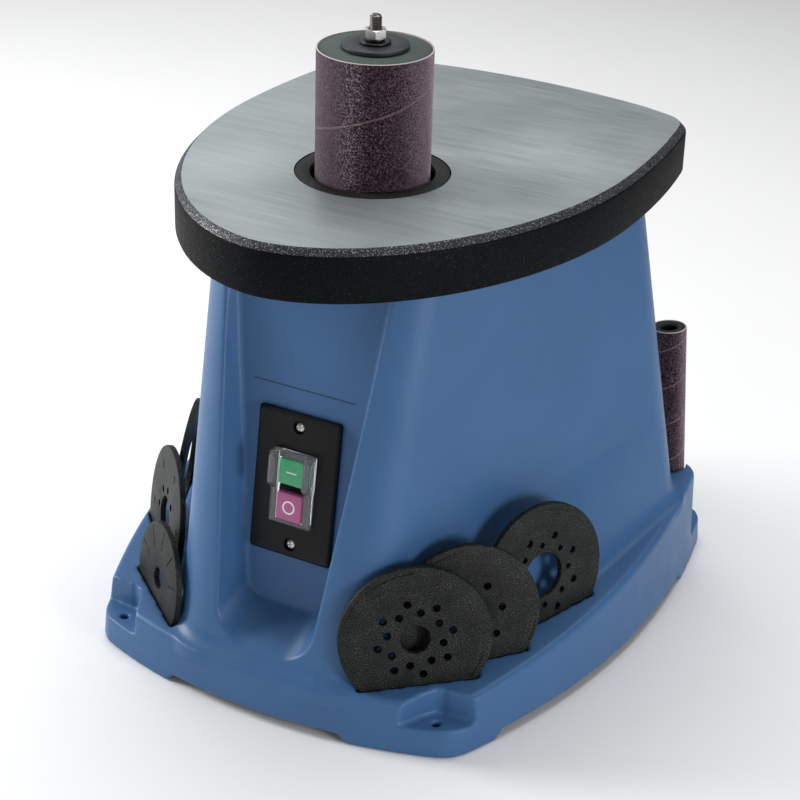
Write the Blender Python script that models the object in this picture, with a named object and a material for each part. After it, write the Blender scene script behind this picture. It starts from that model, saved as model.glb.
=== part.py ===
"""Oscillating spindle sander, as an assembly of separate parts.

Lengths below are in millimetres and become metres when a mesh is made. Every position is
counted from the spindle's axis (x and y) and from the ground (z); +X is the machine's right,
-Y its front. The empty "machine" carries everything and puts the base's middle on the origin.
"""

import math

import bmesh
import bpy
from mathutils import Matrix, Vector

MM = 0.001

# Driving dimensions
SPINDLE_Y = -45.75         # the spindle's axis, in front of the middle of the base
TABLE_TOP = 340.0
TABLE_RIM = 35.5           # height of the table's edge
TABLE_PLATE = 9.0
TABLE_BEVEL = 4.5
DECK_TOP = 324.5           # top of the housing, inside the table's skirt
WALL = 3.5                 # thickness of the moulded housing
DRUM_RADIUS = 38.0         # outside of the abrasive sleeve on the spindle
SLEEVE_LENGTH = 120.0
SLEEVE_TOP = 423.6
SLEEVE_SKIN = 1.0
INSERT_RADIUS = 51.1
INSERT_THICK = 4.0
NESTED_RADIUS = 39.7       # the small insert, which fits inside the drum insert's hole
STROKE = 16.0              # how far the spindle travels up and down
FIT = 0.3                  # gap between touching pieces

BASE_FRONT = -154.8        # bottom edge of the base, on the middle line
BASE_REAR = 246.0
BASE_SIDE = 186.4          # half the base's width, at BASE_WIDEST
BASE_WIDEST = 85.0
FOOT_RISE = 6.0            # the edge between the feet stands this far off the ground
FLANGE_AT_AXIS = 52.1      # the base's top face is a plane that rises to the rear
FLANGE_SLOPE = 0.12
BASE_DRAFT = 4.0

BODY_LEVELS = (75.0, 122.0, 170.0)     # heights of the housing's middle sections
LEAN_FRONT = 0.2276        # y over z of the housing's front face
LEAN_PANEL = 0.1407        # y over z of the recessed panel
PANEL_AT_TOP = -66.1       # y of the panel's plane at the table's top
PANEL_HEIGHT = 148.5       # z of the switch plate's middle
PLATE_SCREWS = ((0.5, 41.7), (0.5, -41.7))

# Storage slots for the inserts: middle of the mouth (x, y), bearing of its face, length, depth.
SLOTS = (
    ((102.3, -110.8), -53.0, 98.0, 20.4),
    ((127.0, -70.9), -45.0, 104.0, 20.4),
    ((149.7, -7.0), -24.0, 94.0, 20.6),
    ((-102.3, -110.8), 233.0, 98.0, 26.4),
    ((-126.3, -67.4), 225.0, 108.0, 26.0),
    ((-154.0, -4.1), 204.0, 97.0, 25.5),
)
SLOT_WIDTH = 6.4
SLOT_LEAN = math.radians(8.0)

# Wells for the spare drums: (x, y), radius of the sleeve. They lean inwards towards the top.
SPARES = ((148.8, 198.4, 13.0), (-128.0, 208.0, 19.0))
SPARE_LEAN = math.radians(4.3)
WELL_DEPTH = 10.5

FRONT_HOLE = (124.3, -120.5)
REAR_HOLE = (156.0, 219.0)
POCKET_FLOOR = 19.9

# Drive train
PULLEY_RADIUS = 32.0
MOTOR_PULLEY_RADIUS = 22.4
MOTOR_Y = 92.0
BELT_BOTTOM, BELT_TOP = 241.0, 253.0
TOP_PLATE = (258.0, 270.0)
LOW_PLATE = (106.0, 112.0)
WHEEL_Y, WHEEL_Z = -37.4, 210.0
WHEEL_RADIUS = 23.0
WHEEL_TEETH = 34
WORM_RADIUS = 14.0
GUIDE_X = -44.0

# Openings in the rear wall
DUCT_Z = 296.0
GLAND_X, GLAND_Z = 70.0, 110.0


# ---------------------------------------------------------------- materials

def finish(name, colour, roughness, metallic=0.0, alpha=1.0):
    material = bpy.data.materials.new(name)
    material.use_nodes = True
    shader = material.node_tree.nodes["Principled BSDF"]
    shader.inputs["Base Color"].default_value = (*colour, 1.0)
    shader.inputs["Roughness"].default_value = roughness
    shader.inputs["Metallic"].default_value = metallic
    shader.inputs["Alpha"].default_value = alpha
    material.diffuse_color = (*colour, alpha)
    return material


# ---------------------------------------------------------------- mesh helpers

def to_object(name, bm, material=None, parent=None, location=(0, 0, 0), rotation=(0, 0, 0)):
    """Closes off a bmesh made in millimetres as an object in metres."""
    bmesh.ops.remove_doubles(bm, verts=bm.verts, dist=1e-4)
    bmesh.ops.recalc_face_normals(bm, faces=bm.faces)
    if bm.calc_volume(signed=True) < 0:
        bmesh.ops.reverse_faces(bm, faces=bm.faces)
    bmesh.ops.scale(bm, vec=(MM, MM, MM), verts=bm.verts)
    mesh = bpy.data.meshes.new(name)
    bm.to_mesh(mesh)
    bm.free()
    obj = bpy.data.objects.new(name, mesh)
    bpy.context.scene.collection.objects.link(obj)
    obj.parent = parent
    obj.location = Vector(location) * MM
    obj.rotation_euler = rotation
    if material:
        mesh.materials.append(material)
        mesh.shade_smooth()
        mesh.set_sharp_from_angle(angle=math.radians(35))
    else:
        obj.hide_render = True
        obj.display_type = "WIRE"
    return obj


def add_prism(bm, outline, low, high):
    """A straight prism; low and high are heights, or functions of x and y."""
    level = [h if callable(h) else (lambda x, y, h=h: h) for h in (low, high)]
    rings = [[bm.verts.new((x, y, f(x, y))) for x, y in outline] for f in level]
    add_skin(bm, rings)


def add_skin(bm, rings):
    """Joins rings of vertices, in order, and closes both ends."""
    count = len(rings[0])
    for lower, upper in zip(rings, rings[1:]):
        for i in range(count):
            j = (i + 1) % count
            bm.faces.new((lower[i], lower[j], upper[j], upper[i]))
    bm.faces.new(rings[0][::-1])
    bm.faces.new(rings[-1])


def add_box(bm, low, high):
    x0, y0, z0 = low
    x1, y1, z1 = high
    add_prism(bm, [(x0, y0), (x1, y0), (x1, y1), (x0, y1)], z0, z1)


def circle(radius, count, centre=(0, 0), start=0.0):
    turn = 2 * math.pi / count
    return [
        (centre[0] + radius * math.cos(start + i * turn), centre[1] + radius * math.sin(start + i * turn))
        for i in range(count)
    ]


def add_turned(bm, profile, count):
    """Turns a closed profile of (radius, z) points about Z; it may touch the axis."""
    made = [bm.verts.new((r, 0, z)) for r, z in profile]
    edges = [bm.edges.new((a, b)) for a, b in zip(made, made[1:] + made[:1])]
    bmesh.ops.spin(
        bm, geom=made + edges, cent=(0, 0, 0), axis=(0, 0, 1), angle=2 * math.pi,
        steps=count, use_merge=True, use_duplicate=False,
    )
    bmesh.ops.remove_doubles(bm, verts=bm.verts, dist=1e-4)
    bmesh.ops.delete(bm, geom=[f for f in bm.faces if f.calc_area() < 1e-9], context="FACES")
    bmesh.ops.delete(bm, geom=[e for e in bm.edges if not e.link_faces], context="EDGES")


def turned(name, profile, count, material, parent, location=(0, 0, 0), rotation=(0, 0, 0)):
    bm = bmesh.new()
    add_turned(bm, profile, count)
    return to_object(name, bm, material, parent, location, rotation)


def tube(name, inner, outer, low, high, count, material, parent, location=(0, 0, 0), rotation=(0, 0, 0)):
    return turned(name, tube_profile(inner, outer, low, high), count, material, parent, location, rotation)


def tube_profile(inner, outer, low, high):
    return [(outer, high), (outer, low), (inner, low), (inner, high)]


def rod_profile(radius, low, high):
    return [(0, high), (radius, high), (radius, low), (0, low)]


def apply_boolean(obj, tool, operation):
    modifier = obj.modifiers.new(tool.name, "BOOLEAN")
    modifier.operation = operation
    modifier.object = tool
    modifier.solver = "EXACT"


def cut(obj, *tools):
    for tool in tools:
        apply_boolean(obj, tool, "DIFFERENCE")


def join(obj, *tools):
    for tool in tools:
        apply_boolean(obj, tool, "UNION")


def drill(name, holes, parent, count=16, rotation=(0, 0, 0), location=(0, 0, 0)):
    """A cutter of upright cylinders, each (x, y, radius, low, high)."""
    bm = bmesh.new()
    for x, y, radius, low, high in holes:
        add_prism(bm, circle(radius, count, (x, y)), low, high)
    return to_object(name, bm, None, parent, location, rotation)


def box_tool(name, boxes, parent, location=(0, 0, 0), rotation=(0, 0, 0)):
    bm = bmesh.new()
    for low, high in boxes:
        add_box(bm, low, high)
    return to_object(name, bm, None, parent, location, rotation)


# ---------------------------------------------------------------- outlines

def inset(outline, distance):
    """Moves a counter-clockwise outline inwards, point by point."""
    moved = []
    for i, here in enumerate(outline):
        before, after = Vector(outline[i - 1]), Vector(outline[(i + 1) % len(outline)])
        here = Vector(here)
        n1 = (here - before).normalized()
        n2 = (after - here).normalized()
        n1, n2 = Vector((-n1.y, n1.x)), Vector((-n2.y, n2.x))
        middle = (n1 + n2).normalized()
        moved.append(tuple(here + middle * (distance / max(0.5, middle.dot(n1)))))
    return moved


def mirrored(half):
    """A whole outline from its right half, listed from the front middle to the rear middle."""
    left = [(-x, y) for x, y in reversed(half) if abs(x) > 1e-6]
    return half + left


def arc(centre, radius, start, end, steps):
    """Points on an arc; angles in degrees."""
    points = []
    for i in range(steps + 1):
        a = math.radians(start + (end - start) * i / steps)
        points.append((centre[0] + radius * math.cos(a), centre[1] + radius * math.sin(a)))
    return points


def table_outline():
    """Machined top face: a blunt nose to the front, a flat bowed rear with round corners."""
    half_width, widest = 146.2, 84.3
    nose = 226.7
    half = []
    for i in range(11):
        t = math.radians(90 - 9 * i)
        half.append((half_width * math.cos(t) ** (2 / 1.8), widest - nose * math.sin(t)))
    half += [(144.6, 130.0), (140.8, 170.0)]
    half += arc((112.6, 190.2), 24.0, 6, 74, 5)
    half += [(84.0, 222.9), (45.0, 228.6), (0.0, 231.1)]
    return mirrored(half)


def side_of_base(y):
    bend = 0.00102 if y < BASE_WIDEST else 0.00083
    return BASE_SIDE - bend * (y - BASE_WIDEST) ** 2


def base_outline():
    half = [(x, BASE_FRONT + 0.00144 * x * x) for x in (0, 28, 56, 84, 110)]
    half += [(130.0, -130.5), (136.6, -127.5), (141.0, -123.2), (144.8, -117.0)]
    half += [(side_of_base(y), y) for y in (-90, -60, -30, 5, 45, 85, 125, 165, 195)]
    half += arc((145.7, 216.1), 26.0, 13, 88, 5)
    half += [(110.0, BASE_REAR - 2.4), (0.0, BASE_REAR)]
    return mirrored(half)


def flange(x, y):
    """Height of the base's top face."""
    return FLANGE_AT_AXIS + FLANGE_SLOPE * y


def tangent(first, second):
    """Bearing of the outward normal where a line touches two circles, each (x, y, radius)."""
    (x1, y1, r1), (x2, y2, r2) = first, second
    return math.atan2(y2 - y1, x2 - x1) - math.acos((r1 - r2) / math.hypot(x2 - x1, y2 - y1))


def body_section(z, thinner=0.0):
    """The upper housing at one height: straight sides touching six corner circles."""
    down = TABLE_TOP - TABLE_RIM - z
    front = (51.0 - 0.03 * down, -41.05 - LEAN_FRONT * down, 38.0)
    rear = (101.0 + 0.17 * down, 142.0 + 0.04 * down, 30.0)
    bulge = (50.0 + 0.268 * down, 120.0 - 0.272 * down, 40.0)
    flat = tangent(front, rear)
    nx, ny = math.cos(flat), math.sin(flat)
    short = (front[0] - bulge[0]) * nx + (front[1] - bulge[1]) * ny + front[2] - bulge[2] + 1.0
    if short > 0:
        bulge = (bulge[0] + short * nx, bulge[1] + short * ny, bulge[2])
    right = [front, bulge, rear]
    circles = right + [(-x, y, r) for x, y, r in reversed(right)]
    bearings = [math.degrees(tangent(a, b)) for a, b in zip(circles, circles[1:] + circles[:1])]
    arcs = []
    for i, (x, y, r) in enumerate(circles):
        start, end = bearings[i - 1], bearings[i]
        while end < start:
            end += 360
        arcs.append(arc((x, y), r - thinner, start, end, 2 if i in (1, 4) else 5))
    ring = []
    for i, (here, after) in enumerate(zip(arcs, arcs[1:] + arcs[:1])):
        ring += here
        (x1, y1), (x2, y2) = here[-1], after[0]
        steps = 1 if i in (2, 5) else 4
        ring += [(x1 + (x2 - x1) * k / steps, y1 + (y2 - y1) * k / steps) for k in range(1, steps)]
    return ring


def panel_y(z):
    return PANEL_AT_TOP + LEAN_PANEL * (z - TABLE_TOP)


def face_y(z):
    return -79.05 - LEAN_FRONT * (TABLE_TOP - TABLE_RIM - z)


# ---------------------------------------------------------------- housing

def recess_tool(name, parent, grow=0.0):
    """The hollow in the housing's front that holds the panel: wide above, round at its foot."""
    top = 345.0

    def outline(half_at_top, narrowing, foot, radius):
        def half_width(z):
            return half_at_top - narrowing * (TABLE_TOP - z) + grow
        low = foot - grow
        bend = low + radius
        right = [(half_width(top), top), (half_width(bend), bend)]
        wide = half_width(bend)
        for i in range(1, 5):
            a = math.radians(90 * i / 4)
            right.append((wide - radius + radius * math.cos(a), bend - radius * math.sin(a)))
        return right + [(-x, z) for x, z in reversed(right)]

    inner = outline(63.0, 0.115, 62.0, 16.0)
    outer = outline(67.4, 0.1086, 42.0, 24.0)
    bm = bmesh.new()
    back = [bm.verts.new((x, panel_y(z) + grow, z)) for x, z in inner]
    lip = [bm.verts.new((x, face_y(z), z)) for x, z in outer]
    past = []
    for a, b in zip(back, lip):
        past.append(bm.verts.new(b.co + (b.co - a.co) * 1.5))
    add_skin(bm, [back, lip, past])
    return to_object(name, bm, None, parent)


def slot_matrix(mouth, facing):
    """Local X runs along the slot, local Y points out of the machine, local Z leans back with it."""
    place = Matrix.Translation((*mouth, flange(*mouth)))
    return place @ Matrix.Rotation(math.radians(facing - 90), 4, "Z") @ Matrix.Rotation(SLOT_LEAN, 4, "X")


def slot_tool(name, parent, chosen, grow=0.0, rise=20.0):
    """Boxes in the shape of the storage slots; chosen says which of the three pairs."""
    bm = bmesh.new()
    for i, (mouth, facing, length, depth) in enumerate(SLOTS):
        if i % 3 not in chosen:
            continue
        made = bmesh.new()
        half, thick, deep = length / 2 + grow, SLOT_WIDTH / 2 + grow, depth + grow
        add_box(made, (-half, -thick, -deep), (half, thick, rise))
        made.transform(slot_matrix(mouth, facing))
        copy_into(bm, made)
    return to_object(name, bm, None, parent)


def copy_into(bm, other):
    mesh = bpy.data.meshes.new("copied")
    other.to_mesh(mesh)
    other.free()
    bm.from_mesh(mesh)
    bpy.data.meshes.remove(mesh)


def pocket_tool(name, parent, grow=0.0):
    """The corner pockets over the four bench-bolt holes."""
    bm = bmesh.new()
    front = [(99.0, -190.0), (175.0, -190.0), (175.0, -108.5)]
    front += arc((119.5, -116.0), 6.0, 92, 155, 3) + [(99.0, -146.0)]
    rear = [(126.0, 246.0), (184.0, 188.0), (230.0, 188.0), (230.0, 290.0), (126.0, 290.0)]
    for outline in (front, rear):
        outline = inset(outline, -grow) if grow else outline
        for side in (1, -1):
            points = [(side * x, y) for x, y in outline]
            add_prism(bm, points if side > 0 else points[::-1], POCKET_FLOOR - grow, 110.0)
    return to_object(name, bm, None, parent)


def underside_tool(parent):
    """Lifts the bottom edge between the feet; its ends slant."""
    bm = bmesh.new()
    slant = FOOT_RISE + 1
    across = [(-72.0, -1.0), (72.0, -1.0), (72.0 - slant, FOOT_RISE), (-72.0 + slant, FOOT_RISE)]
    rings = [[bm.verts.new((x, y, z)) for x, z in across] for y in (-200.0, 300.0)]
    add_skin(bm, rings)
    front, rear = -92.0, 163.0
    along = [(front, -1.0), (rear, -1.0), (rear - slant, FOOT_RISE + 0.01), (front + slant, FOOT_RISE + 0.01)]
    second = bmesh.new()
    rings = [[second.verts.new((x, y, z)) for y, z in along] for x in (-220.0, 220.0)]
    add_skin(second, rings)
    bmesh.ops.recalc_face_normals(second, faces=second.faces)
    first = to_object("clearance_across", bm, None, parent)
    return first, to_object("clearance_along", second, None, parent)


def foot_holes():
    for x, y in (FRONT_HOLE, REAR_HOLE):
        for side in (1, -1):
            yield side * x, y


def make_housing(material, parent, panel):
    outline = base_outline()
    bm = bmesh.new()
    low = [bm.verts.new((x, y, 0)) for x, y in outline]
    high = [bm.verts.new((x, y, flange(x, y))) for x, y in inset(outline, BASE_DRAFT)]
    add_skin(bm, [low, high])
    housing = to_object("housing", bm, material, parent)

    body = bmesh.new()
    levels = (28.0, *BODY_LEVELS, DECK_TOP)
    add_skin(body, [[body.verts.new((x, y, z)) for x, y in body_section(z)] for z in levels])
    upper = to_object("upper_shell", body, None, parent)

    cavity = bmesh.new()
    add_prism(cavity, inset(outline, WALL + 1), -5.0, lambda x, y: flange(x, y) - WALL)
    lower_room = to_object("lower_room", cavity, None, parent)
    for i in range(3):
        cut(lower_room, slot_tool(f"slot_walls_{i + 1}", parent, (i,), 2.2))
    cut(lower_room, pocket_tool("pocket_walls", parent, WALL))
    for at, turn, radius in spare_places():
        walls = (0, 0, radius + 4.5, -WELL_DEPTH - 4.0, 64.0)
        cut(lower_room, drill("well_walls", [walls], parent, 24, turn, at))

    cavity = bmesh.new()
    levels = (20.0, *BODY_LEVELS, DECK_TOP - 4.0)
    add_skin(cavity, [[cavity.verts.new((x, y, z)) for x, y in body_section(z, WALL)] for z in levels])
    upper_room = to_object("upper_room", cavity, None, parent)
    cut(upper_room, recess_tool("panel_wall", parent, WALL))

    bosses = drill("foot_bosses", [(x, y, 7.0, 0.0, POCKET_FLOOR - 1) for x, y in foot_holes()], parent)
    join(housing, upper)
    cut(housing, lower_room, upper_room)
    join(housing, bosses)
    cut(housing, recess_tool("panel_recess", parent), slot_tool("storage_slots", parent, (0, 1, 2)))
    cut(housing, pocket_tool("foot_pockets", parent), *underside_tool(parent))
    cut(housing, drill("foot_bolt_holes", [(x, y, 3.2, -5.0, 60.0) for x, y in foot_holes()], parent, 12))
    cut(housing, drill("drum_opening", [(0, 0, 66.0, 300.0, 340.0)], parent, 32))
    cut(housing, drill("table_bolt_holes", [(x, y, 4.5, 300.0, 340.0) for x, y in bolt_places()], parent, 12))
    for at, turn, radius in spare_places():
        cut(housing, drill("spare_well", [(0, 0, radius + 1.5, -WELL_DEPTH, 64.0)], parent, 24, turn, at))
        join(housing, drill("spare_peg", [(0, 0, 5.2, -WELL_DEPTH - 2.0, 20.0)], parent, 12, turn, at))
    cut(housing, box_tool("switch_window", [((-15.0, -120.0, 121.5), (15.0, -60.0, 172.5))], parent))
    cut(housing, drill("panel_screw_holes", [(x, y, 2.1, -20.0, 6.0) for x, y in PLATE_SCREWS], panel, 12))
    slots = [((x - 2.5, 150.0, 100.0), (x + 2.5, 200.0, 150.0)) for x in range(-40, 41, 16)]
    cut(housing, box_tool("cooling_slots", slots, parent))
    toward_rear = (math.radians(-90), 0, 0)
    rear_holes = [(0, -DUCT_Z, 19.6, 150.0, 200.0), (GLAND_X, -GLAND_Z, 8.3, 150.0, 200.0)]
    cut(housing, drill("rear_openings", rear_holes, parent, 24, toward_rear))
    return housing


def make_bottom_cover(material, parent):
    bm = bmesh.new()
    add_prism(bm, inset(base_outline(), 6.2), FOOT_RISE + 0.6, FOOT_RISE + 3.1)
    cover = to_object("bottom_cover", bm, material, parent)
    cut(cover, drill("cover_clearance", [(x, y, 8.0, 0.0, 20.0) for x, y in foot_holes()], parent, 16))
    vents = [((-45.0, y, 0.0), (45.0, y + 6.0, 20.0)) for y in range(40, 150, 18)]
    cut(cover, box_tool("cover_vents", vents, parent))


# ---------------------------------------------------------------- table and inserts

def bolt_places():
    for x, y in ((73.0, -44.0), (86.0, 136.0)):
        for side in (1, -1):
            yield side * x, y


def make_table(material, parent):
    outline = table_outline()
    rim = inset(outline, -TABLE_BEVEL)
    bottom = TABLE_TOP - TABLE_RIM
    bm = bmesh.new()
    rings = []
    lower_edge = ((inset(rim, 1.5), bottom), (rim, bottom + 1.5))
    upper_edge = ((rim, TABLE_TOP - TABLE_BEVEL), (outline, TABLE_TOP))
    for ring, z in lower_edge + upper_edge:
        rings.append([bm.verts.new((x, y, z)) for x, y in ring])
    add_skin(bm, rings)
    table = to_object("table", bm, material, parent)
    hollow = bmesh.new()
    add_prism(hollow, inset(rim, 9.0), bottom - 5, TABLE_TOP - TABLE_PLATE)
    cut(table, to_object("table_underside", hollow, None, parent))
    seat = DECK_TOP + FIT
    pads = [(x, y, 13.0, seat, TABLE_TOP - 4) for x, y in bolt_places()]
    collar = [(0, 0, 62.0, seat, TABLE_TOP - 4)]
    join(table, drill("table_pads", pads, parent, 16), drill("table_collar", collar, parent, 40))
    ledge = [(0, 0, INSERT_RADIUS + 0.5, TABLE_TOP - INSERT_THICK - 0.3, 350.0)]
    cut(table, drill("insert_seat", ledge, parent, 48))
    cut(table, drill("drum_hole", [(0, 0, 46.0, 300.0, 350.0)], parent, 40))
    threads = [(x, y, 4.3, 300.0, TABLE_TOP - 4) for x, y in bolt_places()]
    cut(table, drill("table_threads", threads, parent, 12))


def make_table_bolts(material, parent):
    for (x, y), name in zip(bolt_places(), ("front_right", "front_left", "rear_right", "rear_left")):
        bm = bmesh.new()
        top = DECK_TOP - 4.0 - FIT
        add_prism(bm, circle(4.0, 12), top - 1, TABLE_TOP - 6)
        shank = to_object(f"bolt_shank_{name}", bm, None, parent, (x, y, 0))
        bm = bmesh.new()
        add_prism(bm, circle(7.5, 6), top - 5.3, top)
        join(to_object(f"table_bolt_{name}", bm, material, parent, (x, y, 0)), shank)


def make_insert(name, material, parent, radius, hole, rings=(), location=(0, 0, 0), matrix=None):
    """A round table insert, its face up, with rings of (count, pitch radius, first angle)."""
    bm = bmesh.new()
    step = 1.2
    add_turned(
        bm,
        [
            (radius - step, 0), (radius, -step), (radius, -INSERT_THICK), (hole, -INSERT_THICK),
            (hole, 0),
        ], 48 if radius > 45 else 40,
    )
    insert = to_object(name, bm, material, parent, location)
    if matrix:
        insert.matrix_local = matrix
    holes = []
    for count, pitch, first in rings:
        for i in range(count):
            a = math.radians(first + 360 * i / count)
            holes.append((pitch * math.cos(a), pitch * math.sin(a), 2.7, -20.0, 20.0))
    if holes:
        tool = drill(f"{name}_dust_holes", holes, parent, 6, location=location)
        if matrix:
            tool.matrix_local = matrix
        cut(insert, tool)
    return insert


def make_stored_inserts(material, parent):
    kinds = {
        "right_front": (INSERT_RADIUS, 10.0, ((8, 19.0, 0), (8, 25.5, 22.5)), 0.0, 31.6),
        "right_middle": (INSERT_RADIUS, 13.0, ((8, 25.0, 0),), 7.0, 31.6),
        "right_rear": (INSERT_RADIUS, 16.0, ((8, 25.5, 0),), 5.0, 31.4),
        "left_front": (NESTED_RADIUS, 7.5, (), 0.0, 14.2),
        "left_middle": (INSERT_RADIUS, 14.5, ((8, 20.5, 0),), 7.2, 26.0),
        "left_rear": (INSERT_RADIUS, 27.5, (), 0.7, 26.5),
    }
    face_out = Matrix.Rotation(math.radians(-90), 4, "X") @ Matrix.Rotation(math.pi, 4, "Z")
    for (mouth, facing, _, _), (place, kind) in zip(SLOTS, kinds.items()):
        radius, hole, rings, along, above = kind
        matrix = slot_matrix(mouth, facing) @ Matrix.Translation((along, INSERT_THICK / 2, above)) @ face_out
        matrix.translation *= MM
        make_insert(f"stored_insert_{place}", material, parent, radius, hole, rings, matrix=matrix)


# ---------------------------------------------------------------- spindle and drum

def make_spindle(steel, dark, rubber, abrasive, parent):
    turned(
        "spindle_shaft",
        [
            (0, 445.3), (2.4, 445.3), (4.0, 442.5), (4.0, 423.2), (6.2, 423.2), (6.2, 303.2), (17.0, 303.2),
            (17.0, 296.0), (8.0, 296.0), (8.0, 181.5), (11.0, 181.5), (11.0, 178.5), (8.0, 178.5),
            (8.0, 165.7), (11.0, 165.7), (11.0, 162.0), (8.0, 162.0), (8.0, 152.0), (0, 152.0),
        ], 20, steel, parent,
    )
    low = SLEEVE_TOP - SLEEVE_LENGTH
    tube("sanding_sleeve", DRUM_RADIUS - SLEEVE_SKIN, DRUM_RADIUS, low, SLEEVE_TOP, 40, abrasive, parent)
    tube("rubber_drum", 6.5, DRUM_RADIUS - SLEEVE_SKIN - FIT, low, SLEEVE_TOP - 0.3, 32, rubber, parent)
    top = SLEEVE_TOP + 0.1
    tube("clamp_washer", 4.3, 22.2, top, top + 2.7, 32, dark, parent)
    tube("small_washer", 4.3, 10.1, top + 3.0, top + 4.5, 24, steel, parent)
    tube("lock_washer", 4.3, 6.2, top + 4.8, top + 6.0, 16, dark, parent)
    bm = bmesh.new()
    add_prism(bm, circle(7.5, 6), top + 6.3, top + 12.3)
    nut = to_object("spindle_nut", bm, steel, parent)
    cut(nut, drill("nut_thread", [(0, 0, 4.3, 400.0, 460.0)], parent, 12))


def spare_places():
    """Where the spare drums stand behind the housing: mouth of the well, turn, radius."""
    for x, y, radius in SPARES:
        lean = -SPARE_LEAN if x > 0 else SPARE_LEAN
        yield (x, y, flange(x, y)), (0, lean, 0), radius


def make_spares(rubber, abrasive, parent):
    low = FIT - WELL_DEPTH
    high = low + SLEEVE_LENGTH
    for at, turn, radius in spare_places():
        size = round(2 * radius)
        skin = radius - SLEEVE_SKIN
        tube(f"spare_sleeve_{size}", skin, radius, low, high, 28, abrasive, parent, at, turn)
        tube(f"spare_drum_{size}", 6.3, skin - FIT, low, high - 0.3, 24, rubber, parent, at, turn)


# ---------------------------------------------------------------- switch

def make_switch(black, clear, green, red, steel, panel):
    bm = bmesh.new()
    half_w, half_h, cut_off = 31.2, 51.0, 2.5
    corners = [
        (half_w - cut_off, -half_h), (half_w, -half_h + cut_off), (half_w, half_h - cut_off),
        (half_w - cut_off, half_h), (-half_w + cut_off, half_h), (-half_w, half_h - cut_off),
        (-half_w, -half_h + cut_off), (-half_w + cut_off, -half_h),
    ]
    rings = []
    for outline, z in ((corners, 0.3), (corners, 2.6), (inset(corners, 1.4), 4.0)):
        rings.append([bm.verts.new((x, y, z)) for x, y in outline])
    add_skin(bm, rings)
    plate = to_object("switch_plate", bm, black, panel)
    cut(plate, box_tool("plate_window", [((-14.4, -25.6, -5.0), (14.4, 22.6, 9.0))], panel))
    cut(plate, drill("plate_sinks", [(x, y, 4.6, 1.4, 9.0) for x, y in PLATE_SCREWS], panel, 16))
    cut(plate, drill("plate_holes", [(x, y, 2.1, -5.0, 9.0) for x, y in PLATE_SCREWS], panel, 12))
    for (x, y), name in zip(PLATE_SCREWS, ("upper", "lower")):
        profile = [(0, 3.6), (2.2, 3.4), (3.4, 2.5), (3.4, 1.7), (1.8, 1.7), (1.8, -8.0), (0, -8.0)]
        turned(f"plate_screw_{name}", profile, 16, steel, panel, (x, y, 0))

    bm = bmesh.new()
    add_box(bm, (-13.8, -25.0, -38.0), (13.8, 22.0, 0.0))
    to_object("switch_body", bm, black, panel)

    bm = bmesh.new()
    add_box(bm, (-16.0, -27.0, 4.3), (16.0, 25.0, 7.4))
    frame = to_object("switch_frame", bm, clear, panel)
    cheeks = [((x, -3.0, 5.0), (x + 4.6, 24.4, 13.0)) for x in (-15.4, 10.8)]
    join(frame, box_tool("switch_cheeks", cheeks, panel))
    cut(frame, box_tool("button_window", [((-10.2, -24.0, 0.0), (10.2, 20.4, 20.0))], panel))
    for name, low, high, material in (("green_button", 1.9, 19.9, green), ("red_button", -23.5, -3.9, red)):
        bm = bmesh.new()
        outline = [(-9.7, low), (9.7, low), (9.7, high), (-9.7, high)]
        levels = ((outline, 3.4), (outline, 7.9), (inset(outline, 0.9), 8.8))
        add_skin(bm, [[bm.verts.new((x, y, z)) for x, y in ring] for ring, z in levels])
        to_object(name, bm, material, panel)


# ---------------------------------------------------------------- dust extraction and power

def make_dust_chamber(material, parent):
    """A cup round the drum's lower end, with a duct to a hose spigot at the rear."""
    rim = DECK_TOP - 4.0 - FIT
    bm = bmesh.new()
    add_prism(bm, circle(51.0, 32), 279.0, rim)
    chamber = to_object("dust_chamber", bm, material, parent)
    join(chamber, box_tool("duct", [((-22.0, 30.0, 279.3), (22.0, 152.0, 314.0))], parent))
    along = (math.radians(-90), 0, 0)
    join(chamber, drill("spigot", [(0, -DUCT_Z, 19.0, 148.0, 206.0)], parent, 24, along))
    cut(chamber, drill("cup_room", [(0, 0, 48.0, 282.0, 340.0)], parent, 32))
    cut(chamber, box_tool("duct_room", [((-19.0, 30.0, 282.3), (19.0, 149.0, 311.0))], parent))
    cut(chamber, drill("spigot_room", [(0, -DUCT_Z, 14.2, 140.0, 220.0)], parent, 24, along))
    cut(chamber, drill("spindle_hole", [(0, 0, 9.0, 270.0, 290.0)], parent, 16))


def make_gland(material, parent):
    wall = 172.0 + 0.04 * (TABLE_TOP - TABLE_RIM - GLAND_Z)
    turned(
        "power_inlet_gland",
        [
            (7.0, 12.0), (9.0, 4.0), (11.0, 4.0), (11.0, 0.8), (8.0, 0.8), (8.0, -5.0), (10.5, -5.0),
            (10.5, -9.0), (3.8, -9.0), (3.8, 12.0),
        ], 20, material, parent, (GLAND_X, wall, GLAND_Z), (math.radians(-90), 0, 0),
    )


# ---------------------------------------------------------------- drive

def columns():
    for x, y in ((54.0, -28.0), (54.0, 148.0)):
        for side in (1, -1):
            yield side * x, y


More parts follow.
